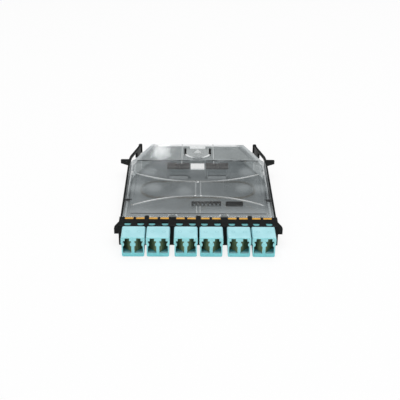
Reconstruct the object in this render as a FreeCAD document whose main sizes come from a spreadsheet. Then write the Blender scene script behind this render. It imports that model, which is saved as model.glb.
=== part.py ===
import FreeCAD, Part
import math
import os

import Sketcher

# A fibre cassette: a black front frame holds six shuttered duplex adapters, a clear tray behind it
# stores the fibre, a clear cover is hinged on the frame and a latch arm runs along each side.
# +X is to the right, +Y to the back, +Z up. The origin is under the middle of the whole cassette.

DRIVING_SIZES = {
    # front frame
    "frame_width": 88.5,
    "frame_height": 12.5,
    "frame_depth": 9.7,
    "frame_roof": 1.3,
    "frame_floor": 1.0,
    "tab_length": 1.25,
    "tab_round": 1.0,
    "front_round": 0.4,
    "barb_reach": 2.4,
    "barb_depth": 8.3,
    "barb_height": 3.4,
    "barb_round": 7.0,
    # adapters
    "adapter_proud": 11.6,
    "adapter_height": 12.2,
    "adapter_width": 12.9,
    "adapter_foot_width": 12.2,
    "adapter_step_height": 7.8,
    "adapter_inner_length": 6.5,
    "adapter_inner_bottom": 1.1,
    "adapter_inner_top": 10.9,
    "adapter_round": 0.9,
    "inner_place": 6.95,
    "middle_place": 22.1,
    "outer_place": 35.65,
    "seat_gap": 0.1,
    # ports
    "port_pitch": 6.25,
    "port_floor": 2.2,
    "port_channel": 4.6,
    "port_shoulder_gap": 3.25,
    "port_shoulder_bottom": 6.5,
    "port_shoulder_top": 8.9,
    "port_slant": 0.6,
    "port_cross_width": 4.4,
    "port_cross_top": 9.9,
    "port_slot_width": 2.4,
    "port_top": 11.6,
    "mouth_plate": 0.6,
    "cavity_width": 5.0,
    "cavity_depth": 8.4,
    "boss_width": 3.5,
    "boss_depth": 3.0,
    "boss_spread": 7.2,
    "boss_front": 0.6,
    "boss_sunk": 0.6,
    # shutters
    "leaf_length": 6.2,
    "leaf_thickness": 0.35,
    "leaf_barrel": 0.35,
    "leaf_pin": 0.25,
    "leaf_pin_reach": 0.4,
    "leaf_gap": 0.12,
    "leaf_angle": 45.0,
    "running_gap": 0.05,
    # sleeves and inner plugs
    "sleeve_outer": 0.8,
    "sleeve_inner": 0.64,
    "sleeve_length": 6.6,
    "sleeve_slit": 0.2,
    "sleeve_start": 7.8,
    "sleeve_wall": 3.8,
    "sleeve_shell": 1.5,
    "ferrule_radius": 0.625,
    "plug_size": 4.5,
    "plug_head_width": 4.7,
    "plug_head_length": 2.3,
    "plug_head_sunk": 0.4,
    "plug_boot": 5.5,
    "plug_boot_radius": 1.4,
    # tray
    "body_length": 93.0,
    "straight_length": 66.0,
    "rear_half": 30.1,
    "tray_wall": 1.2,
    "tray_floor": 1.2,
    "plate_inset": 0.3,
    "divider_inset": 3.9,
    "tongue_width": 7.0,
    "tongue_length": 3.0,
    "divider_place": 72.6,
    "catch_opening": 4.9,
    "catch_bridge": 1.4,
    "catch_window_width": 9.0,
    "catch_window_front": 79.5,
    "catch_window_back": 89.2,
    "pad_inner": 5.1,
    "pad_outer": 19.5,
    "pad_front": 65.8,
    "pad_depth": 6.5,
    "pad_height": 1.3,
    "pad_groove": 1.6,
    "ledge_top": 7.9,
    "cable_slot": 4.4,
    "hub_radius": 9.0,
    "hub_height": 6.0,
    "hub_place_across": 25.0,
    "hub_place_back": 50.5,
    "hub_finger": 2.6,
    "hub_finger_width": 4.0,
    "hub_finger_height": 1.0,
    "clip_front": 49.5,
    "clip_length": 8.0,
    "clip_width": 1.4,
    "clip_inset": 1.6,
    "snap_width": 1.8,
    # cover
    "cover_thickness": 1.5,
    "cover_gap": 0.1,
    "cover_step_place": 69.6,
    "cover_step_drop": 0.5,
    "cover_inset": 1.65,
    "notch_gap": 0.25,
    "notch_depth": 2.1,
    "hinge_pin": 0.35,
    "hinge_pin_reach": 0.7,
    "ridge_height": 0.4,
    "ridge_reach": 38.3,
    "lower_ridge_place": 24.0,
    "lower_ridge_outer": 69.2,
    "lower_ridge_inner": 74.5,
    "upper_ridge_place": 40.4,
    "upper_ridge_outer": 72.2,
    "upper_ridge_inner": 78.0,
    "lip_depth": 1.0,
    "lip_width": 1.0,
    "lip_gap": 1.1,
    "lip_front": 10.0,
    "groove_front": 3.4,
    "groove_width": 0.5,
    "groove_depth": 0.35,
    "groove_inset": 1.2,
    "edge_slot_front": 18.95,
    "edge_slot_width": 0.7,
    "edge_slot_length": 3.0,
    "middle_rib_place": 1.45,
    "middle_rib_width": 0.5,
    "front_rib_place": 1.0,
    "front_rib_width": 0.3,
    "front_rib_end": 12.0,
    "rear_rib_place": 10.1,
    "rear_rib_width": 0.6,
    "rear_rib_tip": 64.2,
    "rear_rib_point": 3.1,
    "rib_height": 0.25,
    # cover latch
    "latch_half": 7.1,
    "latch_length": 11.5,
    "latch_front": 75.3,
    "latch_round": 6.0,
    "latch_travel": 2.5,
    "latch_gap": 0.25,
    "latch_tongue": 0.7,
    "guide_width": 1.3,
    "guide_length": 7.6,
    "guide_setback": 3.6,
    "arrow_half": 2.6,
    "arrow_front": 5.2,
    "arrow_back": 10.4,
    "toe_width": 6.0,
    # latch arms
    "arm_thickness": 1.3,
    "arm_bottom": 5.0,
    "arm_top": 10.7,
    "arm_recess": 0.15,
    "arm_pivot": 7.0,
    "arm_bead": 1.0,
    "arm_stroke": 1.95,
    "arm_clear": 0.35,
    "lug_reach": 5.1,
    "lug_front": 90.3,
    "lug_length": 5.2,
    "lug_taper": 3.1,
    "lug_height": 2.0,
    "grip_reach": 37.85,
    "grip_radius": 1.2,
    "grip_overhang": 3.7,
    "grip_length": 8.2,
    "bend_height": 1.4,
    # blocks in the tray
    "comb_left": -3.9,
    "comb_width": 17.8,
    "comb_front": 31.0,
    "comb_depth": 3.0,
    "comb_height": 1.8,
    "comb_foot": 0.6,
    "comb_spine": 0.8,
    "comb_tooth": 1.2,
    "fanout_left": 16.7,
    "fanout_width": 10.5,
    "fanout_round": 1.0,
    "fanout_groove": 0.6,
    "loop_thickness": 1.2,
    "loop_clear": 0.5,
}


class Size:
    """A length that knows both its number and how the sheet's expressions write it."""

    def __init__(self, number, text):
        self.number = number
        self.text = text

    def _with(self, other, sign, number):
        return Size(number, "(%s %s %s)" % (self.text, sign, size_of(other).text))

    def __add__(self, other):
        return self._with(other, "+", self.number + size_of(other).number)

    def __sub__(self, other):
        return self._with(other, "-", self.number - size_of(other).number)

    def __mul__(self, other):
        return self._with(other, "*", self.number * size_of(other).number)

    def __truediv__(self, other):
        return self._with(other, "/", self.number / size_of(other).number)

    def __neg__(self):
        return self * -1

    def __radd__(self, other):
        return size_of(other) + self

    def __rsub__(self, other):
        return size_of(other) - self

    def __rmul__(self, other):
        return size_of(other) * self


def size_of(value):
    """A plain number as a size, and a size as it is."""
    if isinstance(value, Size):
        return value
    return Size(float(value), "%.6g" % value)


class Sheet:
    """The driving sizes, each read as an attribute by its alias."""

    def __init__(self, doc):
        sheet = doc.addObject("Spreadsheet::Sheet", "Sizes")
        for row, (alias, number) in enumerate(DRIVING_SIZES.items(), start=1):
            sheet.set("A%d" % row, alias.replace("_", " "))
            sheet.set("B%d" % row, "%g" % number)
            sheet.setAlias("B%d" % row, alias)
            setattr(self, alias, Size(number, "Sizes." + alias))


def bind(target, path, size):
    """Give a property its size and tie it to the sheet."""
    target.setExpression(path, size_of(size).text)


def new_body(doc, label):
    """An empty body whose label names its file."""
    body = doc.addObject("PartDesign::Body", label)
    body.Label = label
    return body


def place(body, across=0, back=0, height=0):
    """Put a body's own origin at a point of the cassette."""
    bind(body, "Placement.Base.x", across)
    bind(body, "Placement.Base.y", back)
    bind(body, "Placement.Base.z", height)


def new_sketch(body, role, offset=0):
    """A sketch on one of the body's origin planes, moved along that plane's normal."""
    plane = next(item for item in body.Origin.OriginFeatures if item.Role == role)
    sketch = body.newObject("Sketcher::SketchObject", body.Label + "_sketch")
    sketch.AttachmentSupport = [(plane, "")]
    sketch.MapMode = "FlatFace"
    bind(sketch, "AttachmentOffset.Base.z", offset)
    return sketch


def hold(sketch, kind, *where_and_size):
    """One constraint of a sketch, tied to its size."""
    *where, size = where_and_size
    size = size_of(size)
    index = sketch.addConstraint(Sketcher.Constraint(kind, *where, size.number))
    sketch.setExpression("Constraints[%d]" % index, size.text)


def hold_point(sketch, geometry, end, point):
    """Fix one end or centre of a piece of geometry at a point of the sketch."""
    hold(sketch, "DistanceX", -1, 1, geometry, end, point[0])
    hold(sketch, "DistanceY", -1, 1, geometry, end, point[1])


def spot(point):
    """A point of a sketch as a vector."""
    return FreeCAD.Vector(size_of(point[0]).number, size_of(point[1]).number, 0)


def draw_outline(sketch, points):
    """A closed outline of straight lines through the points."""
    first = sketch.GeometryCount
    count = len(points)
    for index in range(count):
        line = Part.LineSegment(spot(points[index]), spot(points[(index + 1) % count]))
        sketch.addGeometry(line, False)
    for index in range(count):
        following = first + (index + 1) % count
        sketch.addConstraint(Sketcher.Constraint("Coincident", first + index, 2, following, 1))
        hold_point(sketch, first + index, 1, points[index])


def draw_box(sketch, left, right, low, high):
    """A rectangle from its four sides."""
    draw_outline(sketch, [(left, low), (right, low), (right, high), (left, high)])


def draw_circle(sketch, centre, radius):
    """A circle held at its centre."""
    radius = size_of(radius)
    circle = Part.Circle(spot(centre), FreeCAD.Vector(0, 0, 1), radius.number)
    index = sketch.addGeometry(circle, False)
    hold_point(sketch, index, 3, centre)
    hold(sketch, "Radius", index, radius)


def draw_crescent(sketch, reach, end_height, radii, upward):
    """Two arcs of different radii that meet in points at either end, bulging up or down."""
    for radius in radii:
        sag = math.sqrt(radius.number ** 2 - reach.number ** 2)
        centre_height = end_height.number - sag if upward else end_height.number + sag
        swing = math.asin(reach.number / radius.number)
        middle = math.pi / 2 if upward else 3 * math.pi / 2
        circle = Part.Circle(FreeCAD.Vector(0, centre_height, 0), FreeCAD.Vector(0, 0, 1), radius.number)
        sketch.addGeometry(Part.ArcOfCircle(circle, middle - swing, middle + swing), False)
    last = sketch.GeometryCount - 1
    start_side = reach if upward else -reach
    hold_point(sketch, last, 1, (start_side, end_height))
    hold_point(sketch, last, 2, (-start_side, end_height))
    for end in (1, 2):
        sketch.addConstraint(Sketcher.Constraint("Coincident", last - 1, end, last, end))
    for index, radius in zip((last - 1, last), radii):
        hold(sketch, "Radius", index, radius)


def extrude(body, kind, sketch, length, backwards=False, middle=False):
    """Pad or pocket a sketch by a length, or cut right through where the length is None."""
    feature = body.newObject("PartDesign::" + kind, body.Label + "_" + kind.lower())
    feature.Profile = sketch
    feature.Reversed = backwards
    feature.Midplane = middle
    if length is None:
        feature.Type = "ThroughAll"
    else:
        bind(feature, "Length", length)
    body.Tip = feature
    return feature


def pad(body, sketch, length, backwards=False, middle=False):
    return extrude(body, "Pad", sketch, length, backwards, middle)


def pocket(body, sketch, length=None, backwards=False, middle=False):
    return extrude(body, "Pocket", sketch, length, backwards, middle)


def round_edges(doc, body, radius, wanted):
    """Round every edge of the body that the test wants, told by its direction and middle."""
    doc.recompute()
    base = body.Tip
    names = []
    for index, edge in enumerate(base.Shape.Edges, start=1):
        if len(edge.Vertexes) != 2:
            continue
        start, end = edge.Vertexes[0].Point, edge.Vertexes[1].Point
        along = (end - start).normalize()
        middle = (start + end) * 0.5
        if wanted(along, middle):
            names.append("Edge%d" % index)
    feature = body.newObject("PartDesign::Fillet", body.Label + "_round")
    feature.Base = (base, names)
    bind(feature, "Radius", radius)
    body.Tip = feature
    return feature


def upright_at(points):
    """A test for upright edges that stand at one of the points."""
    spots = [(size_of(across).number, size_of(back).number) for across, back in points]

    def wanted(along, middle):
        near = any(abs(middle.x - x) < 0.02 and abs(middle.y - y) < 0.02 for x, y in spots)
        return abs(along.z) > 0.99 and near

    return wanted


def lengthwise_at(points):
    """A test for edges that run front to back and pass through one of the points."""
    spots = [(size_of(across).number, size_of(height).number) for across, height in points]

    def wanted(along, middle):
        near = any(abs(middle.x - x) < 0.02 and abs(middle.z - z) < 0.02 for x, z in spots)
        return abs(along.y) > 0.99 and near

    return wanted


def crosswise_at(points):
    """A test for edges that run left to right and pass through one of the points."""
    spots = [(size_of(back).number, size_of(height).number) for back, height in points]

    def wanted(along, middle):
        near = any(abs(middle.y - y) < 0.02 and abs(middle.z - z) < 0.02 for y, z in spots)
        return abs(along.x) > 0.99 and near

    return wanted


class Layout:
    """Places that several pieces share, all worked out from the sheet."""

    def __init__(self, sheet):
        self.front_face = -(sheet.adapter_proud + sheet.frame_depth + sheet.body_length
                            + sheet.grip_overhang) / 2
        self.frame_front = self.front_face + sheet.adapter_proud
        self.body_front = self.frame_front + sheet.frame_depth
        self.adapter_places = [-sheet.outer_place, -sheet.middle_place, -sheet.inner_place,
                               sheet.inner_place, sheet.middle_place, sheet.outer_place]
        self.port_height = sheet.port_floor + sheet.port_channel / 2
        self.cover_bottom = sheet.frame_height - sheet.cover_thickness
        self.cover_half = sheet.frame_width / 2 - sheet.cover_inset
        self.arm_inner = sheet.frame_width / 2 - sheet.arm_recess - sheet.arm_thickness
        self.tray_front_half = self.arm_inner - sheet.arm_clear
        self.tray_rear_half = self.arm_inner - sheet.arm_clear - sheet.arm_stroke
        self.tray_top = self.cover_bottom - sheet.cover_gap
        self.hinge_back = 0.8
        self.hinge_height = sheet.frame_height - sheet.cover_thickness / 2
        self.head_window = sheet.plug_head_width + 2 * sheet.seat_gap
        self.window_reach = sheet.port_pitch / 2 + self.head_window / 2

    def gap_webs(self):
        """Middle and width of each roof web, one between every two neighbouring adapters."""
        pairs = zip(self.adapter_places[:-1], self.adapter_places[1:])
        return [((left + right) / 2, right - left - 2 * self.window_reach) for left, right in pairs]

    def hinge_tabs(self):
        """The two outer tabs, which carry the cover's hinge pins."""
        webs = self.gap_webs()
        return [webs[0], webs[4]]

    def port_places(self, sheet):
        return [-sheet.port_pitch / 2, sheet.port_pitch / 2]

    def tongue_places(self):
        webs = self.gap_webs()
        return [webs[0][0], webs[2][0], webs[4][0]]


def make_front_frame(doc, sheet, layout):
    """Black bar with six windows, roof windows for bosses and plugs, tabs, barbs and arm sockets."""
    body = new_body(doc, "front_frame")
    place(body, 0, layout.frame_front)
    half = sheet.frame_width / 2
    roof_bottom = sheet.frame_height - sheet.frame_roof

    block = new_sketch(body, "XY_Plane")
    draw_box(block, -half, half, 0, sheet.frame_depth)
    pad(body, block, sheet.frame_height)

    # One window for each adapter, right through from front to back
    windows = new_sketch(body, "XZ_Plane")
    window_half = sheet.adapter_foot_width / 2 + sheet.seat_gap
    for middle in layout.adapter_places:
        draw_box(windows, middle - window_half, middle + window_half, sheet.frame_floor, roof_bottom)
    pocket(body, windows)

    # Roof windows: rounded ones over the adapters' bosses, open ones over the plugs' heads
    bosses = new_sketch(body, "XY_Plane", sheet.frame_height)
    boss_corners = []
    boss_half = sheet.boss_width / 2 + sheet.seat_gap
    low = sheet.boss_front - sheet.seat_gap
    high = sheet.boss_front + sheet.boss_depth + sheet.seat_gap
    for middle in layout.adapter_places:
        for side in (-1, 1):
            centre = middle + side * sheet.boss_spread / 2
            draw_box(bosses, centre - boss_half, centre + boss_half, low, high)
            boss_corners += [(centre - boss_half, low), (centre + boss_half, low)]
    pocket(body, bosses, sheet.frame_roof)

    heads = new_sketch(body, "XY_Plane", sheet.frame_height)
    head_front = sheet.frame_depth - sheet.plug_head_length - sheet.seat_gap
    for middle in layout.adapter_places:
        for port in layout.port_places(sheet):
            centre = middle + port
            left = centre - layout.head_window / 2
            draw_box(heads, left, left + layout.head_window, head_front, sheet.frame_depth + 1)
    pocket(body, heads, sheet.frame_roof)

    # Tabs reach back from the roof into the narrow notches of the cover; the wide ones stay open
    tabs = new_sketch(body, "XY_Plane", roof_bottom)
    tab_corners = []
    tab_end = sheet.frame_depth + sheet.tab_length
    for middle, width in layout.gap_webs()[::2]:
        draw_box(tabs, middle - width / 2, middle + width / 2, sheet.frame_depth - 1, tab_end)
        tab_corners += [(middle - width / 2, tab_end), (middle + width / 2, tab_end)]
    pad(body, tabs, sheet.frame_roof)

    # Hinge pins through the two outer tabs
    for middle, width in layout.hinge_tabs():
        pins = new_sketch(body, "YZ_Plane", middle)
        draw_circle(pins, (sheet.frame_depth + layout.hinge_back, layout.hinge_height), sheet.hinge_pin)
        pad(body, pins, width + 2 * sheet.hinge_pin_reach, middle=True)

    # Barbs at both ends, the front stops of the cassette
    barbs = new_sketch(body, "XY_Plane", sheet.arm_top - sheet.barb_height)
    barb_corners = []
    for side in (-1, 1):
        tip = side * (half + sheet.barb_reach)
        root = side * (half - 0.5)
        bend = (tip, sheet.barb_depth * 0.3)
        draw_outline(barbs, [(root, 0), (tip, 0), bend,
                             (side * half, sheet.barb_depth), (root, sheet.barb_depth)])
        barb_corners.append(bend)
    pad(body, barbs, sheet.barb_height)

    # Side sockets and slots where the latch arms are clipped in
    reach = sheet.arm_bead + sheet.running_gap
    pivot_across = arm_pivot_across(sheet, layout)
    sockets = new_sketch(body, "XY_Plane", sheet.arm_top + sheet.seat_gap)
    slots = new_sketch(body, "XY_Plane", sheet.arm_top + sheet.seat_gap)
    slot_inner = layout.arm_inner - sheet.seat_gap
    for side in (-1, 1):
        draw_circle(sockets, (side * pivot_across, sheet.arm_pivot), reach)
        near, far = side * slot_inner, side * (half + 1)
        left, right = (near, far) if side > 0 else (far, near)
        draw_box(slots, left, right, sheet.arm_pivot, sheet.frame_depth + 1)
    socket_depth = sheet.arm_top - sheet.arm_bottom + 2 * sheet.seat_gap
    pocket(body, sockets, socket_depth)
    pocket(body, slots, socket_depth)

    # Notches in the floor for the tray's tongues
    notches = new_sketch(body, "XY_Plane")
    notch_half = sheet.tongue_width / 2 + sheet.seat_gap
    notch_front = sheet.frame_depth - sheet.tongue_length - sheet.seat_gap
    for middle in layout.tongue_places():
        draw_box(notches, middle - notch_half, middle + notch_half, notch_front, sheet.frame_depth + 1)
    pocket(body, notches, sheet.frame_floor, backwards=True)

    round_edges(doc, body, sheet.boss_width / 2 - 0.2, upright_at(boss_corners))
    round_edges(doc, body, sheet.tab_round, upright_at(tab_corners))
    round_edges(doc, body, sheet.barb_round, upright_at(barb_corners))
    round_edges(doc, body, sheet.front_round, crosswise_at([(0, sheet.frame_height)]))
    return body


def make_adapter(doc, sheet, layout, number):
    """Aqua duplex adapter: a hood with two ports in front of the frame and a body inside it."""
    body = new_body(doc, "adapter_%d" % number)
    place(body, layout.adapter_places[number - 1], layout.front_face)
    wide, narrow = sheet.adapter_width / 2, sheet.adapter_foot_width / 2
    top = sheet.adapter_height
    step = sheet.adapter_step_height
    hood_length = sheet.adapter_proud - sheet.seat_gap

    hood = new_sketch(body, "XZ_Plane")
    draw_outline(hood, [(-narrow, 0), (narrow, 0), (narrow, step), (wide, step + 0.4),
                        (wide, top), (-wide, top), (-wide, step + 0.4), (-narrow, step)])
    pad(body, hood, hood_length, backwards=True)

    inner = new_sketch(body, "XZ_Plane", -hood_length)
    draw_box(inner, -narrow, narrow, sheet.adapter_inner_bottom, sheet.adapter_inner_top)
    pad(body, inner, sheet.adapter_inner_length, backwards=True)

    # Bosses that rise into the frame's roof windows
    boss_front = sheet.adapter_proud + sheet.boss_front
    boss_back = boss_front + sheet.boss_depth
    bosses = new_sketch(body, "XY_Plane", sheet.adapter_inner_top)
    boss_corners = []
    for side in (-1, 1):
        centre = side * sheet.boss_spread / 2
        left, right = centre - sheet.boss_width / 2, centre + sheet.boss_width / 2
        draw_box(bosses, left, right, boss_front, boss_back)
        boss_corners += [(left, boss_front), (right, boss_front)]
    pad(body, bosses, sheet.frame_height - sheet.boss_sunk - sheet.adapter_inner_top)
    round_edges(doc, body, sheet.boss_width / 2 - 0.3, upright_at(boss_corners))
    round_edges(doc, body, sheet.adapter_round,
                lengthwise_at([(-wide, top), (wide, top), (-narrow, 0), (narrow, 0)]))

    # The keyed mouth of each port is cut through a thin front plate
    mouths = new_sketch(body, "XZ_Plane")
    channel, shoulder = sheet.port_channel / 2, sheet.port_shoulder_gap / 2
    cross, slot = sheet.port_cross_width / 2, sheet.port_slot_width / 2
    for centre in layout.port_places(sheet):
        half_outline = [(channel, sheet.port_floor), (channel, sheet.port_shoulder_bottom),
                        (shoulder, sheet.port_shoulder_bottom + sheet.port_slant),
                        (shoulder, sheet.port_shoulder_top - sheet.port_slant),
                        (cross, sheet.port_shoulder_top), (cross, sheet.port_cross_top),
                        (slot, sheet.port_cross_top), (slot, sheet.port_top)]
        right = [(centre + across, height) for across, height in half_outline]
        left = [(centre - across, height) for across, height in reversed(half_outline)]
        draw_outline(mouths, right + left)
    pocket(body, mouths, sheet.mouth_plate)

    # Behind the plate each port is wide enough for its shutter to fold back
    cavities = new_sketch(body, "XZ_Plane", -sheet.mouth_plate)
    for side in (-1, 1):
        near = side * cavity_inner(sheet)
        far = side * (cavity_inner(sheet) + sheet.cavity_width)
        left, right = (near, far) if side > 0 else (far, near)
        draw_box(cavities, left, right, sheet.port_floor, sheet.port_top)
    pocket(body, cavities, sheet.cavity_depth)

    # Sleeve carriers in the wall between the front and rear cavities
    wall_front = sheet.mouth_plate + sheet.cavity_depth
    rear_length = hood_length + sheet.adapter_inner_length - wall_front - sheet.sleeve_wall
    shells = new_sketch(body, "XZ_Plane", -sheet.sleeve_start)
    bores = new_sketch(body, "XZ_Plane", -sheet.sleeve_start)
    rears = new_sketch(body, "XZ_Plane", -(hood_length + sheet.adapter_inner_length))
    rear_half = sheet.plug_size / 2 + sheet.seat_gap
    for centre in layout.port_places(sheet):
        draw_circle(shells, (centre, layout.port_height), sheet.sleeve_shell)
        draw_circle(bores, (centre, layout.port_height), sheet.sleeve_outer + sheet.running_gap)
        draw_box(rears, centre - rear_half, centre + rear_half,
                 layout.port_height - rear_half, layout.port_height + rear_half)
    pad(body, shells, wall_front - sheet.sleeve_start + 0.2, backwards=True)
    pocket(body, rears, rear_length, backwards=True)
    pocket(body, bores, wall_front + sheet.sleeve_wall - sheet.sleeve_start + 0.2)

    # Pin holes for the shutters, above and below each cavity
    pins = new_sketch(body, "XY_Plane", sheet.port_floor - sheet.leaf_pin_reach - 0.2)
    for side in (-1, 1):
        draw_circle(pins, (side * leaf_pivot_across(sheet), leaf_pivot_back(sheet)),
                    sheet.leaf_pin + sheet.running_gap)
    pocket(body, pins, sheet.port_top - sheet.port_floor + 2 * sheet.leaf_pin_reach + 0.2,
           backwards=True)
    return body


def cavity_inner(sheet):
    """Distance of a front cavity's inner wall from the adapter's middle."""
    return (sheet.port_pitch - sheet.cavity_width) / 2 - 0.175


def leaf_pivot_across(sheet):
    return cavity_inner(sheet) + sheet.running_gap + sheet.leaf_barrel


def leaf_pivot_back(sheet):
    return sheet.mouth_plate + 0.1 + sheet.leaf_barrel


def make_shutter(doc, sheet, layout, number):
    """Spring leaf on two pins at the port's inner edge, resting across the port at a slant."""
    body = new_body(doc, "shutter_%d" % number)
    adapter = (number - 1) // 2
    side = 1 if number % 2 == 0 else -1
    place(body, layout.adapter_places[adapter] + side * leaf_pivot_across(sheet),
          layout.front_face + leaf_pivot_back(sheet))
    body.Placement = FreeCAD.Placement(body.Placement.Base, FreeCAD.Rotation(FreeCAD.Vector(0, 0, 1), 1))
    bind(body, "Placement.Rotation.Angle", sheet.leaf_angle if side > 0 else 180 - sheet.leaf_angle)

    bottom = sheet.port_floor + sheet.leaf_gap
    leaf_height = sheet.port_top - sheet.port_floor - 2 * sheet.leaf_gap
    leaf = new_sketch(body, "XY_Plane", bottom)
    low, high = (0, sheet.leaf_thickness) if side > 0 else (-sheet.leaf_thickness, 0)
    draw_box(leaf, 0, sheet.leaf_length, low, high)
    pad(body, leaf, leaf_height)
    barrel = new_sketch(body, "XY_Plane", bottom)
    draw_circle(barrel, (0, 0), sheet.leaf_barrel)
    pad(body, barrel, leaf_height)
    pins = new_sketch(body, "XY_Plane", sheet.port_floor - sheet.leaf_pin_reach)
    draw_circle(pins, (0, 0), sheet.leaf_pin)
    pad(body, pins, sheet.port_top - sheet.port_floor + 2 * sheet.leaf_pin_reach)
    return body


def make_alignment_sleeve(doc, sheet, layout, number):
    """Split ceramic tube that lines up the two ferrules of a port."""
    body = new_body(doc, "alignment_sleeve_%d" % number)
    place(body, *port_axis(sheet, layout, number))
    ring = new_sketch(body, "XZ_Plane", -sheet.sleeve_start)
    draw_circle(ring, (0, 0), sheet.sleeve_outer)
    draw_circle(ring, (0, 0), sheet.sleeve_inner)
    pad(body, ring, sheet.sleeve_length, backwards=True)
    slit = new_sketch(body, "XY_Plane")
    draw_box(slit, -sheet.sleeve_slit / 2, sheet.sleeve_slit / 2,
             sheet.sleeve_start - 0.5, sheet.sleeve_start + sheet.sleeve_length + 0.5)
    pocket(body, slit, sheet.sleeve_outer + 0.2, backwards=True)
    return body


def port_axis(sheet, layout, number):
    """Across, back and height of one port's axis at the adapters' front face."""
    adapter = (number - 1) // 2
    side = 1 if number % 2 == 0 else -1
    across = layout.adapter_places[adapter] + side * sheet.port_pitch / 2
    return across, layout.front_face, layout.port_height


def make_inner_plug(doc, sheet, layout, number):
    """Orange plug at the back of a port: ferrule, square nose, head in the roof window and boot."""
    body = new_body(doc, "inner_plug_%d" % number)
    place(body, *port_axis(sheet, layout, number))
    head_back = sheet.adapter_proud + sheet.frame_depth - sheet.seat_gap
    head_front = sheet.adapter_proud - sheet.seat_gap + sheet.adapter_inner_length + sheet.seat_gap
    nose_front = sheet.mouth_plate + sheet.cavity_depth + sheet.sleeve_wall + sheet.seat_gap
    half = sheet.plug_size / 2

    nose = new_sketch(body, "XZ_Plane", -nose_front)
    draw_box(nose, -half, half, -half, half)
    pad(body, nose, head_front - nose_front + 0.2, backwards=True)
    well = new_sketch(body, "XZ_Plane", -nose_front)
    draw_circle(well, (0, 0), sheet.sleeve_outer + 3 * sheet.running_gap)
    pocket(body, well, sheet.sleeve_start + sheet.sleeve_length - nose_front + sheet.seat_gap)

    # The head stands on the nose and its latch rises into the roof window
    head = new_sketch(body, "YZ_Plane")
    head_top = sheet.frame_height - sheet.plug_head_sunk - layout.port_height
    shelf = sheet.frame_height - sheet.frame_roof - 0.3 - layout.port_height
    latch_front = head_back - sheet.plug_head_length + 0.1
    draw_outline(head, [(head_front, -half), (head_back, -half), (head_back, head_top),
                        (latch_front, head_top), (latch_front, shelf), (head_front, shelf)])
    pad(body, head, sheet.plug_head_width, middle=True)

    # Ferrule and boot are turned about the plug's axis
    turned = new_sketch(body, "XY_Plane")
    ferrule_front = sheet.sleeve_start + sheet.sleeve_length / 2 + 0.1
    boot_end = head_back + sheet.plug_boot
    draw_outline(turned, [(0, ferrule_front), (sheet.ferrule_radius - 0.1, ferrule_front),
                          (sheet.ferrule_radius, ferrule_front + 0.2),
                          (sheet.ferrule_radius, head_front),
                          (sheet.plug_boot_radius, head_front), (sheet.plug_boot_radius, head_back + 1),
                          (sheet.plug_boot_radius * 0.6, boot_end), (0, boot_end)])
    turn = body.newObject("PartDesign::Revolution", "boot")
    turn.Profile = turned
    turn.ReferenceAxis = (turned, ["V_Axis"])
    turn.Angle = 360
    body.Tip = turn
    return body


def floor_plate_outline(sheet, layout):
    """Right half of the tray's floor plate, which lies just inside the cover's outline."""
    side = layout.cover_half - sheet.plate_inset
    return [(side, 0), (side, sheet.straight_length - sheet.plate_inset),
            (sheet.rear_half - 2 * sheet.plate_inset, sheet.body_length - 2 * sheet.plate_inset)]


def tray_outline(sheet, layout, inset=0):
    """Right half of the tray's walls, from the front to the back, moved inwards by an inset."""
    straight = sheet.straight_length - 0.1
    back = sheet.body_length - 0.4
    return [(layout.tray_front_half - inset, 0), (layout.tray_rear_half - inset, straight - inset * 0.25),
            (sheet.rear_half - 0.8 - inset * 0.7, back - inset)]


def both_halves(right):
    """A closed outline from its right half and the mirrored left half."""
    return right + [(-across, back) for across, back in reversed(right)]


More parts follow.
